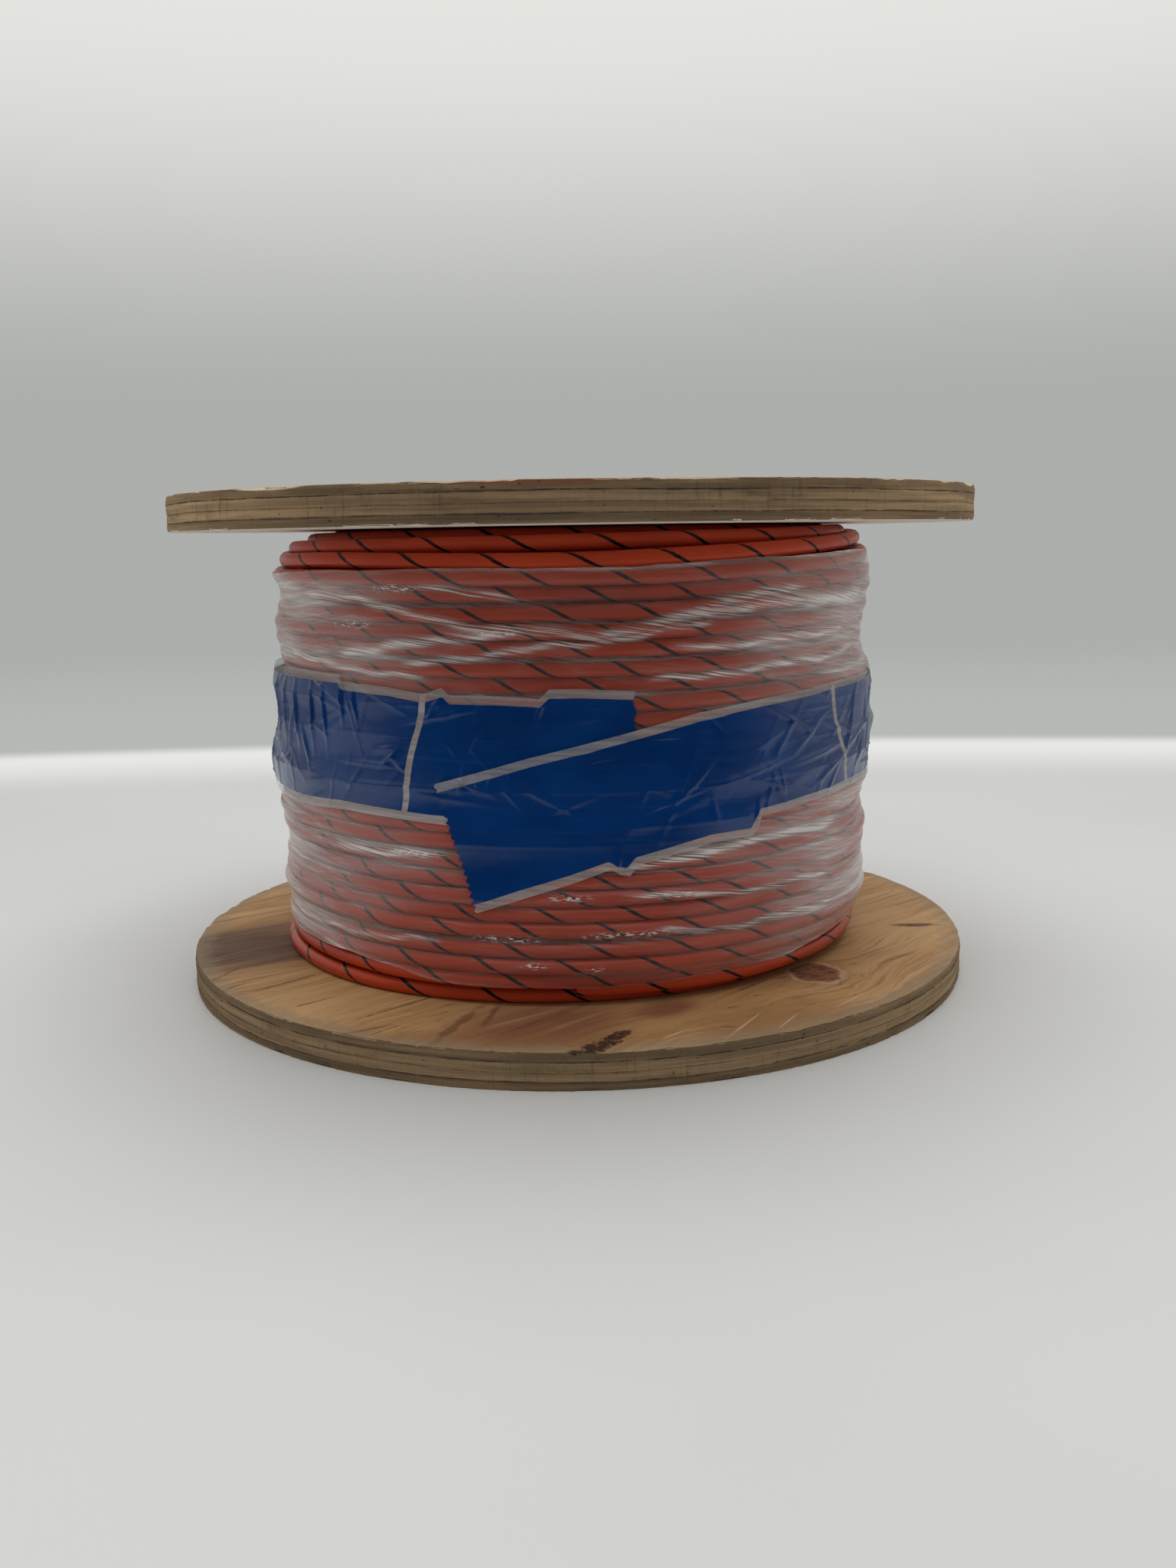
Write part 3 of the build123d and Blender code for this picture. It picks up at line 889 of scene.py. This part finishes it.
def makeTape():
    rng = np.random.default_rng(tape["seed"])
    deselectAll()
    bpy.ops.mesh.primitive_grid_add(x_subdivisions=tape["lengthSteps"], y_subdivisions=tape["widthSteps"],
                                    size=1)
    strip = newestObject("tape")
    flat = readPoints(strip)
    share, up = flat[:, 0] + 0.5, flat[:, 1] + 0.5
    across = flat[:, 1] * tape["width"]
    degree = 180 / pi / tape["roll"]        # degrees of bearing per millimetre
    middle = tape["start"] + (tape["end"] - tape["start"]) * share
    # the serrated cut at the outer end and the torn start
    tooth = np.abs((across / tape["teeth"]) % 1 - 0.5) * 2 * tape["toothDepth"] * degree
    middle = middle + tooth * smoothStep(tape["end"] + 2.5 * degree, tape["end"], middle)
    torn = 0.9 * (0.5 - up) + 0.25 * np.sin(across * 0.9)
    middle = middle + torn * smoothStep(tape["start"] - 3, tape["start"], middle)
    lean = tape["lean"] * smoothStep(tape["leanFrom"], tape["leanFull"], middle)
    low = edgeHeight(tape["lowerEdge"], middle + lean)
    high = edgeHeight(tape["upperEdge"], middle - lean)
    bearing = middle + lean * (1 - 2 * up)
    height = low + (high - low) * up

    count = tape["fineFolds"]
    fine = np.stack([rng.uniform(-180, 180, count), rng.uniform(74, 122, count), rng.uniform(3, 16, count),
                     rng.normal(20, 45, count), rng.uniform(0.4, 1.1, count),
                     rng.uniform(0.08, 0.50, count)], axis=1)
    radius = np.maximum(sampleOutline(tapeOutline, bearing, height),
                        sampleOutline(filmOutline, bearing, height))
    radius += tape["underGap"] + foldField(bearing, height, [*tape["folds"], *fine])
    radius += tape["lapLift"] * smoothStep(tape["lapFrom"], tape["lapFull"], middle)
    dipping = smoothStep(tape["leanFrom"] + 12, tape["leanFrom"], middle)
    radius += foldField(bearing, height, tape["dipFolds"]) * dipping
    radius += bumpSum(bearing, height, tape["bulges"])
    writePoints(strip, drumPoints(bearing, radius, height))
    seam = np.full_like(bearing, 20.0)
    for upper, lower in tape["dividers"]:
        line = lower + (upper - lower) * up + 0.35 * np.sin(9 * up + upper)
        seam = np.minimum(seam, np.abs(bearing - line) / degree)
    onDip = smoothStep(tape["leanFrom"], tape["leanFull"], middle)
    pale = (0.40 + 0.22 * (up < 0.5)) * (1 - onDip) + 0.46 * onDip
    writeAttribute(strip, "pale", pale)
    writeAttribute(strip, "seam", seam)
    writeAttribute(strip, "across", across)
    makeActive(strip)
    setMode("EDIT")
    bpy.ops.mesh.select_all(action="SELECT")
    bpy.ops.mesh.flip_normals()
    setMode("OBJECT")
    shadeSmooth(strip)
    return strip


tapeStrip = makeTape()
tapeStrip.data.materials.append(tapeMaterial())
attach(tapeStrip, "root")
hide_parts("packing_tape")
print("tape laid:", len(tapeStrip.data.polygons), "faces")


# Plywood flanges

ply = {
    "radius": 152.4, "thickness": 12.7, "arbor": 15.875, "segments": 720, "sawRows": 20,
    "rings": [0.5, 0.6, 0.9, 1.4, 2.0, 3.0, 4.5, 7.0, 12.0], "innerRings": 8,
    "glueLines": (0.23, 0.47, 0.74),     # share of the height, from the underside
    "topChips": (60, 9, 1.1), "lowChips": (50, 7, 0.9),     # how many, the longest, the deepest
    "boltCircle": 49.0, "boltAngle": -97.0, "boltHole": 3.3, "nutRecess": 7.5, "nutDepth": 5.5,
}


def chipField(rng, angle, count, longest, deepest):
    chips = np.zeros_like(angle)
    for _ in range(count):
        where, half = rng.uniform(0, tau), rng.uniform(0.8, longest) / ply["radius"]
        off = turnGap(angle, where) / half
        lean = rng.uniform(-0.5, 0.5)
        bite = np.clip(1 - np.abs(off + lean * np.abs(off)), 0, 1) ** 0.6
        chips = np.maximum(chips, rng.uniform(0.25, 1) * deepest * bite)
    return chips


def pickRoundFaces(disc, sides):
    # picks what the last ring on the upper side (1) or the underside (-1) encloses
    bpy.ops.mesh.select_all(action="DESELECT")
    setMode("OBJECT")
    for face in disc.data.polygons:
        level = any(face.normal.z * side > 0.99 for side in sides)
        face.select = level and len(face.vertices) > 100
    setMode("EDIT")


def discBlank(name, bottom):
    thick = ply["thickness"]
    deselectAll()
    bpy.ops.mesh.primitive_cylinder_add(vertices=ply["segments"], radius=ply["radius"] * mm, depth=thick * mm,
                                        location=(0, 0, (bottom + thick / 2) * mm), end_fill_type="NGON")
    disc = newestObject(name)
    applyPlace(disc)
    setMode("EDIT")
    bpy.ops.mesh.select_mode(type="FACE")
    # rows up the rim for plies and chips
    for row in range(1, ply["sawRows"]):
        bpy.ops.mesh.select_all(action="SELECT")
        level = (bottom + thick * row / ply["sawRows"]) * mm
        bpy.ops.mesh.bisect(plane_co=(0, 0, level), plane_no=(0, 0, 1))
    # rings on both faces, then the arbor hole
    inner = ply["radius"] - sum(ply["rings"]) - ply["arbor"]
    rings = [*ply["rings"], *[inner / ply["innerRings"]] * ply["innerRings"]]
    for side in (1, -1):
        pickRoundFaces(disc, [side])
        for ring in rings:
            bpy.ops.mesh.inset(thickness=ring * mm, use_even_offset=False)
    pickRoundFaces(disc, [1, -1])
    bpy.ops.mesh.bridge_edge_loops()
    setMode("OBJECT")
    return disc


def roughen(disc, bottom, seed, voids):
    # grooves at the glue lines, saw marks, chipped edges and torn-out bark
    rng = np.random.default_rng(seed)
    thick = ply["thickness"]
    points = readPoints(disc) / mm
    radius = np.hypot(points[:, 0], points[:, 1])
    angle = np.arctan2(points[:, 0], -points[:, 1])
    level = points[:, 2] - bottom
    rim = smoothStep(ply["radius"] - 0.3, ply["radius"] - 0.05, radius)
    inward = np.zeros(len(points))
    for line in ply["glueLines"]:
        wave = line * thick + 0.25 * np.sin(3 * angle + seed) + 0.12 * np.sin(11 * angle + line * 9)
        inward += 0.22 * np.exp(-((level - wave) / 0.28) ** 2)
    saw = sum(np.sin(n * angle + p) for n, p in zip((97, 151, 233, 301), rng.uniform(0, tau, 4)))
    inward += 0.035 * saw + 0.10 * np.sin(7 * angle + level * 0.8)
    inward += rng.normal(0, 0.05, len(points))
    topChips = chipField(rng, angle, *ply["topChips"])
    lowChips = chipField(rng, angle, *ply["lowChips"])
    fromTop, fromLow, fromRim = thick - level, level, ply["radius"] - radius
    nearTop = np.clip(1 - fromTop / 3.0, 0, 1)
    nearLow = np.clip(1 - fromLow / 2.6, 0, 1)
    inward += (0.28 + topChips) * nearTop ** 2 + (0.22 + lowChips) * nearLow ** 2
    share = (radius - inward * rim) / np.maximum(radius, 1e-6)

    onTop, onLow = fromTop < 0.01, fromLow < 0.01
    lowered = (0.20 + 0.85 * topChips) * np.clip(1 - fromRim / (1.0 + 2.2 * topChips), 0, 1) ** 1.6
    level = level - np.where(onTop, lowered, 0)
    if bottom > 0:      # the underside that stands on the floor stays flat
        raised = (0.15 + 0.8 * lowChips) * np.clip(1 - fromRim / (0.9 + 2.0 * lowChips), 0, 1) ** 1.6
        level = level + np.where(onLow & (fromRim < 6), raised, 0)
    for x, y, wide, deep in voids:
        off = np.hypot(points[:, 0] - x, points[:, 1] - y) / wide
        torn = deep * np.exp(-off ** 2) * (1 + 0.5 * rng.normal(0, 1, len(off)))
        level = level - np.where(onTop, torn, 0)
    shaped = np.stack([points[:, 0] * share, points[:, 1] * share, bottom + level], axis=1)
    writePoints(disc, shaped * mm)


def drill(disc, bottom, recessed):
    thick = ply["thickness"]
    sizes = [(ply["boltHole"], bottom + thick / 2, 3 * thick)]
    if recessed:
        sizes.append((ply["nutRecess"], bottom, 2 * ply["nutDepth"]))
    for k in range(3):
        turn = radians(ply["boltAngle"] + 120 * k)
        place = Vector((ply["boltCircle"] * cos(turn), ply["boltCircle"] * sin(turn), 0)) * mm
        for hole, middle, depth in sizes:
            deselectAll()
            bpy.ops.mesh.primitive_cylinder_add(vertices=40, radius=hole * mm, depth=depth * mm,
                                                location=(place.x, place.y, middle * mm))
            cutter = newestObject("drill")
            makeActive(disc)
            hollow = disc.modifiers.new("drill", "BOOLEAN")
            hollow.operation, hollow.solver, hollow.object = "DIFFERENCE", "EXACT", cutter
            bpy.ops.object.modifier_apply(modifier=hollow.name)
            bpy.data.objects.remove(cutter)


def makeFlange(name, bottom, seed, recessed, voids):
    disc = discBlank(name, bottom)
    roughen(disc, bottom, seed, voids)
    drill(disc, bottom, recessed)
    shadeSmooth(disc, 28)
    return disc


def paintFlange(disc, faceMat, rimMat, backMat):
    for mat in (faceMat, rimMat, backMat):
        disc.data.materials.append(mat)
    for face in disc.data.polygons:
        if abs(face.normal.z) < 0.55:
            face.material_index = 1
        elif face.normal.z < 0:
            face.material_index = 2


veneer = {
    "light": (0.72, 0.445, 0.205), "dark": (0.53, 0.295, 0.120), "fibre": (0.36, 0.180, 0.070),
    "heart": (0.135, 0.064, 0.036), "red": (0.30, 0.120, 0.058), "knot": (0.150, 0.062, 0.036),
    "bark": (0.042, 0.020, 0.014), "worn": (0.34, 0.265, 0.180), "scratch": (0.80, 0.62, 0.42),
    # a painted sheen tone: whitish, standing in for the grazing sheen and bounce light on the upper flange's
    # underside
    "paintedSheenTone": (0.93, 0.86, 0.77),
    "marks": ("knots", "pales", "dusks", "hearts", "reds", "streaks", "scratches", "barks"),
}


def softSpot(tree, coords, place, size, turn, ragged, edge):
    # 1 inside an oval on the face, 0 outside, with an uneven border; and how far out each place is
    local = tree.stretched(coords, (1, 1, 0), 0.0, (-place[0] * mm, -place[1] * mm, 0))
    sockets = {"Vector": local, "Angle": -radians(turn)}
    local = tree.add("VectorRotate", sockets, rotation_type="Z_AXIS").outputs[0]
    local = tree.vector("DIVIDE", local, (size[0] * mm, size[1] * mm, 1))
    away = tree.plus(tree.vector("LENGTH", local), ragged)
    return tree.map(away, 1 - edge, 1 + edge, 1, 0), away


def spotted(tree, coords, colour, spots, ragged, edge, share, tone):
    for spot in spots:
        mask, _ = softSpot(tree, coords, *spot, ragged, edge)
        colour = tree.mix(tree.times(mask, share), colour, veneer[tone])
    return colour


def knotted(tree, coords, colour, height, mask, away):
    # a dark cracked knot with a pale ring and a reddish halo
    colour = tree.mix(tree.map(away, 0.9, 2.0, 0.40, 0.0), colour, veneer["red"])
    ring = tree.times(tree.map(away, 1.0, 1.14), tree.map(away, 1.16, 1.36, 1, 0))
    colour = tree.mix(tree.times(ring, 0.35), colour, veneer["scratch"])
    cracks = tree.noise(coords, (210, 420, 210), 4, 0.7, turn=0.6)
    inner = tree.mix(tree.map(cracks, 0.46, 0.58), veneer["red"], veneer["knot"])
    inner = tree.mix(tree.map(cracks, 0.60, 0.66), inner, veneer["bark"])
    return tree.mix(mask, colour, inner), tree.minus(height, tree.times(mask, cracks))


def veneerMaterial(name, grainTurn, shift, paintedSheen, marks):
    mat, tree = newMaterial(name)
    coords = tree.coords()
    marks = {kind: marks.get(kind, []) for kind in veneer["marks"]}
    coarse = tree.minus(tree.noise(coords, (38, 38, 38), 3, shift=shift), 0.5)
    crumbs = tree.minus(tree.noise(coords, (170, 170, 170), 4, 0.65, shift=shift), 0.5)
    ragged = tree.plus(coarse, tree.times(crumbs, 0.8))
    torn = tree.plus(tree.times(coarse, 0.7), tree.times(crumbs, 2.6))

    # the grain runs along X once turned, and bends round the knots
    turned = -radians(grainTurn)
    along, crossGrain, depth = tree.split(tree.stretched(coords, (1, 1, 0.2), turned, shift))
    knots = []
    for place, size, turn in marks["knots"]:
        mask, away = softSpot(tree, coords, place, size, turn, tree.times(torn, 0.30), 0.10)
        flow = tree.map(away, 0.6, 4.2, 1.0, 0.0)
        level = (place[0] * sin(turned) + place[1] * cos(turned)) * mm + shift[1]
        pull = tree.times(tree.minus(level, crossGrain), tree.times(flow, 0.8))
        crossGrain = tree.plus(crossGrain, pull)
        knots.append((mask, away))
    bent = tree.joined(along, crossGrain, depth)
    slow = tree.noise(bent, (5, 16, 5), 3)
    bent = tree.vector("ADD", bent, tree.joined(y=tree.times(slow, 0.05)))
    bands = tree.noise(bent, (5, 90, 5), 5, 0.58)
    fibres = tree.noise(bent, (16, 520, 16), 5, 0.72)
    flecks = tree.noise(bent, (90, 1400, 90), 2, 0.6)
    mottle = tree.noise(coords, (24, 24, 24), 4, 0.6, turn=0.4, shift=shift)
    grainy = tree.plus(tree.times(tree.minus(bands, 0.5), 2.4), tree.times(tree.minus(fibres, 0.5), 1.6))

    colour = tree.mix(tree.map(bands, 0.36, 0.64), veneer["light"], veneer["dark"])
    colour = tree.mix(tree.map(fibres, 0.45, 0.68, 0, 0.85), colour, veneer["fibre"])
    colour = tree.mix(tree.map(mottle, 0.40, 0.78, 0, 0.45), colour, veneer["dark"])
    colour = spotted(tree, coords, colour, marks["pales"], ragged, 0.6, 0.65, "light")
    colour = spotted(tree, coords, colour, marks["dusks"], ragged, 0.6, 0.75, "fibre")
    streaky = tree.map(fibres, 0.30, 0.62, 0.88, 1.0)
    colour = spotted(tree, coords, colour, marks["hearts"], grainy, 0.45, streaky, "heart")
    for spot in marks["reds"]:
        mask, _ = softSpot(tree, coords, *spot, grainy, 0.5)
        colour = tree.mix(tree.times(mask, tree.map(bands, 0.32, 0.58, 0.45, 1.0)), colour, veneer["red"])
        lines = tree.times(mask, tree.map(bands, 0.60, 0.70, 0, 0.75))
        colour = tree.mix(lines, colour, veneer["heart"])
    height = tree.minus(tree.times(fibres, 0.8), tree.times(flecks, 0.4))
    for mask, away in knots:
        colour, height = knotted(tree, coords, colour, height, mask, away)
    fleck = tree.times(tree.map(flecks, 0.64, 0.72, 0, 0.8), tree.map(mottle, 0.42, 0.58))
    colour = tree.mix(fleck, colour, veneer["heart"])
    colour = spotted(tree, coords, colour, marks["streaks"], torn, 0.5, 0.62, "heart")
    colour = spotted(tree, coords, colour, marks["scratches"], tree.times(crumbs, 0.6), 0.4, 0.55, "scratch")
    fromAxis = tree.vector("LENGTH", tree.vector("MULTIPLY", coords, (1, 1, 0)))
    frayed = tree.plus(fromAxis, tree.times(torn, 0.006))
    colour = tree.mix(tree.map(frayed, 0.143, 0.151, 0, 0.55), colour, veneer["worn"])
    speck = tree.noise(coords, (320, 320, 320), 4, 0.7)
    inner = tree.mix(tree.map(speck, 0.48, 0.62), veneer["bark"], veneer["red"])
    for spot in marks["barks"]:
        mask, _ = softSpot(tree, coords, *spot, torn, 0.16)
        colour = tree.mix(tree.times(mask, 0.92), colour, inner)
        height = tree.minus(height, tree.times(mask, tree.plus(speck, 0.6)))
    # painted sheen: the colour is paled towards a whitish tone, by the share given in the fourth argument
    colour = tree.mix(paintedSheen, colour, veneer["paintedSheenTone"])
    normal = tree.bumped(height, 0.40, 0.0007)
    gloss = tree.map(fibres, 0.3, 0.7, 0.55, 0.78)
    tree.finish({"Base Color": colour, "Roughness": gloss, "Normal": normal, "Specular IOR Level": 0.3})
    return mat


rimTones = {
    "pale": (0.385, 0.255, 0.139), "grey": (0.245, 0.165, 0.092), "brown": (0.160, 0.096, 0.048),
    "glue": (0.030, 0.021, 0.015), "stain": (0.085, 0.068, 0.052), "red": (0.24, 0.100, 0.052),
    "chip": (0.86, 0.74, 0.56),
}


def rimMaterial(name, bottom, shift, paintedEndLight, spots):
    # the left and right lift: painted light, how much brighter the edge is drawn towards its far left and
    # right ends, where the sides catch more light; spots: place, size and tone of marks
    mat, tree = newMaterial(name)
    coords = tree.coords()
    place = tree.split(coords)
    level = tree.over(tree.minus(place[2], bottom * mm), ply["thickness"] * mm)
    waver = tree.noise(coords, (26, 26, 60), 4, 0.6, shift=shift)
    level = tree.plus(level, tree.times(tree.minus(waver, 0.5), 0.09))
    runs = tree.noise(coords, (14, 14, 620), 5, 0.62, shift=shift)
    saws = tree.noise(coords, (760, 760, 40), 5, 0.75, shift=shift)
    blot = tree.noise(coords, (34, 34, 90), 4, 0.6, shift=shift)
    colour = tree.mix(tree.map(runs, 0.38, 0.62), rimTones["pale"], rimTones["grey"])
    plies = tree.colourRamp(level, [
        (0.0, (0.80,) * 3), (0.22, (0.60,) * 3), (0.24, (1.06,) * 3), (0.46, (0.88,) * 3),
        (0.48, (1.06,) * 3), (0.73, (0.94,) * 3), (0.75, (0.72,) * 3), (1.0, (0.62,) * 3)])
    colour = tree.mix(1.0, colour, plies, "MULTIPLY")
    colour = tree.mix(tree.map(blot, 0.50, 0.75, 0, 0.60), colour, rimTones["brown"])
    sawn = tree.times(tree.map(saws, 0.50, 0.72), tree.map(blot, 0.40, 0.62, 0.22, 0.80))
    colour = tree.mix(sawn, colour, rimTones["brown"])
    stain = tree.noise(coords, (18, 18, 130), 4, 0.6, turn=0.7, shift=shift)
    colour = tree.mix(tree.map(stain, 0.58, 0.76, 0, 0.75), colour, rimTones["stain"])
    for where, size, tone, firm in spots:
        off = tree.vector("SUBTRACT", coords, tuple(v * mm for v in where))
        off = tree.vector("LENGTH", tree.vector("DIVIDE", off, tuple(v * mm for v in size)))
        off = tree.plus(off, tree.times(tree.minus(stain, 0.5), 1.2))
        colour = tree.mix(tree.map(off, 0.75, 1.15, firm, 0), colour, rimTones[tone])
    # painted light: the edge is brightened towards its left and right ends
    left, right = paintedEndLight
    sideLight = tree.plus(tree.map(place[0], -0.05, -0.14, 0, left), tree.map(place[0], 0.05, 0.14, 0, right))
    lift = tree.add("CombineColor", {i: tree.plus(sideLight, 1.0) for i in range(3)}).outputs[0]
    colour = tree.mix(1.0, colour, lift, "MULTIPLY")
    bumps = tree.times(saws, -0.7)
    for line, firm in zip(ply["glueLines"], (0.8, 0.5, 0.9)):
        breaks = tree.noise(coords, (80, 80, 9), 4, 0.7, turn=line, shift=shift)
        width = tree.map(breaks, 0.30, 0.70, 0.008, 0.030)
        off = tree.calc("ABSOLUTE", tree.minus(level, line))
        mask = tree.minus(1.0, tree.over(off, width), clamp=True)
        mask = tree.times(tree.calc("POWER", mask, 0.6), tree.map(breaks, 0.34, 0.56, firm * 0.35, firm))
        colour = tree.mix(mask, colour, rimTones["glue"])
        bumps = tree.minus(bumps, mask)
    pits = tree.noise(coords, (380, 380, 700), 3, shift=shift)
    pit = tree.map(pits, 0.68, 0.74, 0, 0.8)
    colour = tree.mix(pit, colour, rimTones["glue"])
    bumps = tree.minus(bumps, pit)
    normal = tree.bumped(bumps, 0.6, 0.0008)
    tree.finish({"Base Color": colour, "Roughness": 0.82, "Normal": normal, "Specular IOR Level": 0.25})
    return mat


upperBottom = 171.45
lowerMarks = {  # middle, half length and half width, turn in degrees
    "knots": [((85.5, -77.8), (8.2, 10.4), 8)],
    "pales": [((-100, -114), (34, 16), 42), ((127, -22), (22, 30), 20)],
    "dusks": [((62, -132), (34, 16), 30), ((-20, -141), (40, 9), 0)],
    "hearts": [((-129, -36), (42, 29), 25), ((134, -18), (8, 2.2), 0)],
    "reds": [((-10, -127), (29, 20), 18), ((30, -114), (13, 8), 35)],
    "barks": [((0, -152.5), (6, 3.0), 40), ((7, -146), (9, 3.6), 48), ((15, -136.5), (6.5, 2.4), 52)],
    "streaks": [((-39, -127), (19, 1.7), 70), ((-28, -117), (10, 1.2), 78), ((-130, -73), (6, 1.0), 62),
                ((-123, -86), (5, 1.0), 55), ((-127, -66), (4, 0.8), 70), ((-136, -66), (4, 0.8), 60),
                ((-70, -131), (9, 0.9), 30), ((60, -92), (12, 0.6), 44), ((-88, -100), (9, 0.6), 40),
                ((-60, -108), (14, 0.7), 44), ((-104, -80), (12, 0.7), 46), ((120, -60), (10, 0.6), 40)],
    "scratches": [((53, -132), (14, 0.45), 60), ((68, -128), (8.5, 0.4), 60), ((31, -138), (6, 0.4), 47),
                  ((92, -108), (9, 0.3), 50), ((-60, -118), (9, 0.35), 35)],
}
lowerFlange = makeFlange("flangeLower", 0.0, 5, True, [(6, -147, 6.5, 1.3)])
lowerFace = veneerMaterial("pine face, lower", 42, (0.31, 0.12, 0.0), 0.0, lowerMarks)
lowerRim = rimMaterial("ply edge, lower", 0.0, (0.11, 0.27, 0.0), (0.30, 0.40), [])
lowerBackMarks = {"hearts": [((40, 70), (60, 14), 70)]}
lowerBack = veneerMaterial("pine back, lower", 70, (0.53, 0.66, 0.0), 0.0, lowerBackMarks)
paintFlange(lowerFlange, lowerFace, lowerRim, lowerBack)
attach(lowerFlange, "root")
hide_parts("flange_lower")

upperMarks = {
    "knots": [((-62, 71), (8, 9), 20), ((96, -40), (6, 7), 60)],
    "hearts": [((52, 92), (74, 9), -63)],
    "reds": [((-6, -112), (52, 12), -63)],
    "streaks": [((-80, 20), (14, 0.9), -60), ((30, -60), (16, 0.8), -66), ((110, 60), (12, 0.8), -58)],
    "scratches": [((20, 30), (22, 0.4), 20), ((-40, -70), (16, 0.4), -30)],
}
upperSpots = [  # darker patch on the lowest ply, reddish top edge, reddish block, pale torn splinters at the top edge that are partly a painted highlight
    ((-20, -150.5, 173.5), (26, 6, 1.6), "stain", 0.40), ((-10, -152, 183.2), (24, 6, 1.5), "red", 0.75),
    ((149.5, -30, 180.0), (6, 9, 1.6), "red", 0.85), ((-92, -121, 184.0), (20, 14, 1.0), "chip", 0.8),
    ((139, -62, 184.0), (8, 10, 1.0), "chip", 0.7)]
upperFlange = makeFlange("flangeUpper", upperBottom, 8, False, [])
upperFace = veneerMaterial("pine face, upper", -63, (0.83, 0.47, 0.0), 0.0, upperMarks)
upperRim = rimMaterial("ply edge, upper", upperBottom, (0.57, 0.91, 0.0), (0.95, 0.65), upperSpots)
upperBackMarks = {"hearts": [((60, 60), (50, 12), 25)]}
# the upper flange's underside is paled to paint the whitish grazing sheen and bounce light on it
upperBack = veneerMaterial("pine back, upper", 25, (0.22, 0.71, 0.0), 0.8, upperBackMarks)
paintFlange(upperFlange, upperFace, upperRim, upperBack)
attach(upperFlange, "root")
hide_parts("flange_upper")
print("flanges cut:", len(lowerFlange.data.polygons) + len(upperFlange.data.polygons), "faces")


# Tie bolts: a chamfered hexagon head on a round shank

bolt = {
    "circle": 49.0, "firstTurn": -97.0, "count": 3, "across": 10.0, "headHeight": 4.0, "chamfer": 0.7,
    "shank": 6.0, "shankSides": 32, "foot": 0.5, "seat": 184.15, "smoothBelow": 35,
}


def makeBolt(number):
    turn = radians(bolt["firstTurn"] + 360 / bolt["count"] * (number - 1))
    x, y = bolt["circle"] * cos(turn) * mm, bolt["circle"] * sin(turn) * mm
    deselectAll()
    bpy.ops.mesh.primitive_cylinder_add(
        vertices=6, radius=bolt["across"] / sqrt(3) * mm, depth=bolt["headHeight"] * mm,
        location=(x, y, (bolt["seat"] + bolt["headHeight"] / 2) * mm), rotation=(0, 0, radians(30)))
    head = newestObject(f"bolt{number}")
    applyPlace(head)
    for face in head.data.polygons:
        face.select = face.normal.z > 0.9
    setMode("EDIT")
    bpy.ops.mesh.select_mode(type="FACE")
    bpy.ops.mesh.bevel(offset=bolt["chamfer"] * mm, segments=3, affect="EDGES")
    setMode("OBJECT")
    shadeSmooth(head, bolt["smoothBelow"])
    deselectAll()
    bpy.ops.mesh.primitive_cylinder_add(
        vertices=bolt["shankSides"], radius=bolt["shank"] / 2 * mm, depth=(bolt["seat"] - bolt["foot"]) * mm,
        location=(x, y, (bolt["seat"] + bolt["foot"]) / 2 * mm))
    shank = newestObject(f"shank{number}")
    applyPlace(shank)
    shadeSmooth(shank, bolt["smoothBelow"])
    deselectAll()
    shank.select_set(True)
    head.select_set(True)
    bpy.context.view_layer.objects.active = head
    bpy.ops.object.join()
    return head


# Steel and fibre finishes; nuts and tube keep their solids

def steelMaterial(name, tone, worn):
    mat, tree = newMaterial(name)
    coords = tree.coords()
    clouds = tree.noise(coords, (240, 240, 240), 4, 0.6)
    turned = tree.noise(coords, (300, 300, 2600), 3)
    colour = tree.mix(tree.map(clouds, 0.40, 0.70), tone, worn)
    shine = tree.map(clouds, 0.3, 0.7, 0.32, 0.52)
    normal = tree.bumped(turned, 0.15, 0.0002)
    tree.finish({"Base Color": colour, "Metallic": 0.9, "Roughness": shine, "Normal": normal})
    return mat


def fibreMaterial():
    mat, tree = newMaterial("fibre tube")
    coords = tree.coords()
    wraps = tree.noise(coords, (30, 30, 260), 4)
    specks = tree.noise(coords, (700, 700, 700), 3)
    colour = tree.mix(tree.map(wraps, 0.35, 0.65), (0.33, 0.22, 0.12), (0.25, 0.16, 0.085))
    colour = tree.mix(tree.map(specks, 0.6, 0.75, 0, 0.5), colour, (0.15, 0.10, 0.06))
    normal = tree.bumped(specks, 0.3, 0.0004)
    tree.finish({"Base Color": colour, "Roughness": 0.85, "Normal": normal, "Specular IOR Level": 0.2})
    return mat


def refinish(name, mat):
    mesh = nodes[name].data
    mesh.materials.clear()
    mesh.materials.append(mat)


boltSteel = steelMaterial("dark bolt steel", (0.13, 0.13, 0.135), (0.26, 0.25, 0.24))
nutSteel = steelMaterial("zinc nut steel", (0.42, 0.42, 0.43), (0.55, 0.54, 0.50))
for number in range(1, bolt["count"] + 1):
    tieBolt = makeBolt(number)
    tieBolt.data.materials.clear()
    tieBolt.data.materials.append(boltSteel)
    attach(tieBolt, "root")
    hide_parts(f"tie_bolt_{number}")
    refinish(f"hex_nut_{number}", nutSteel)
refinish("core_tube", fibreMaterial())
print("bolts, nuts and tube finished")
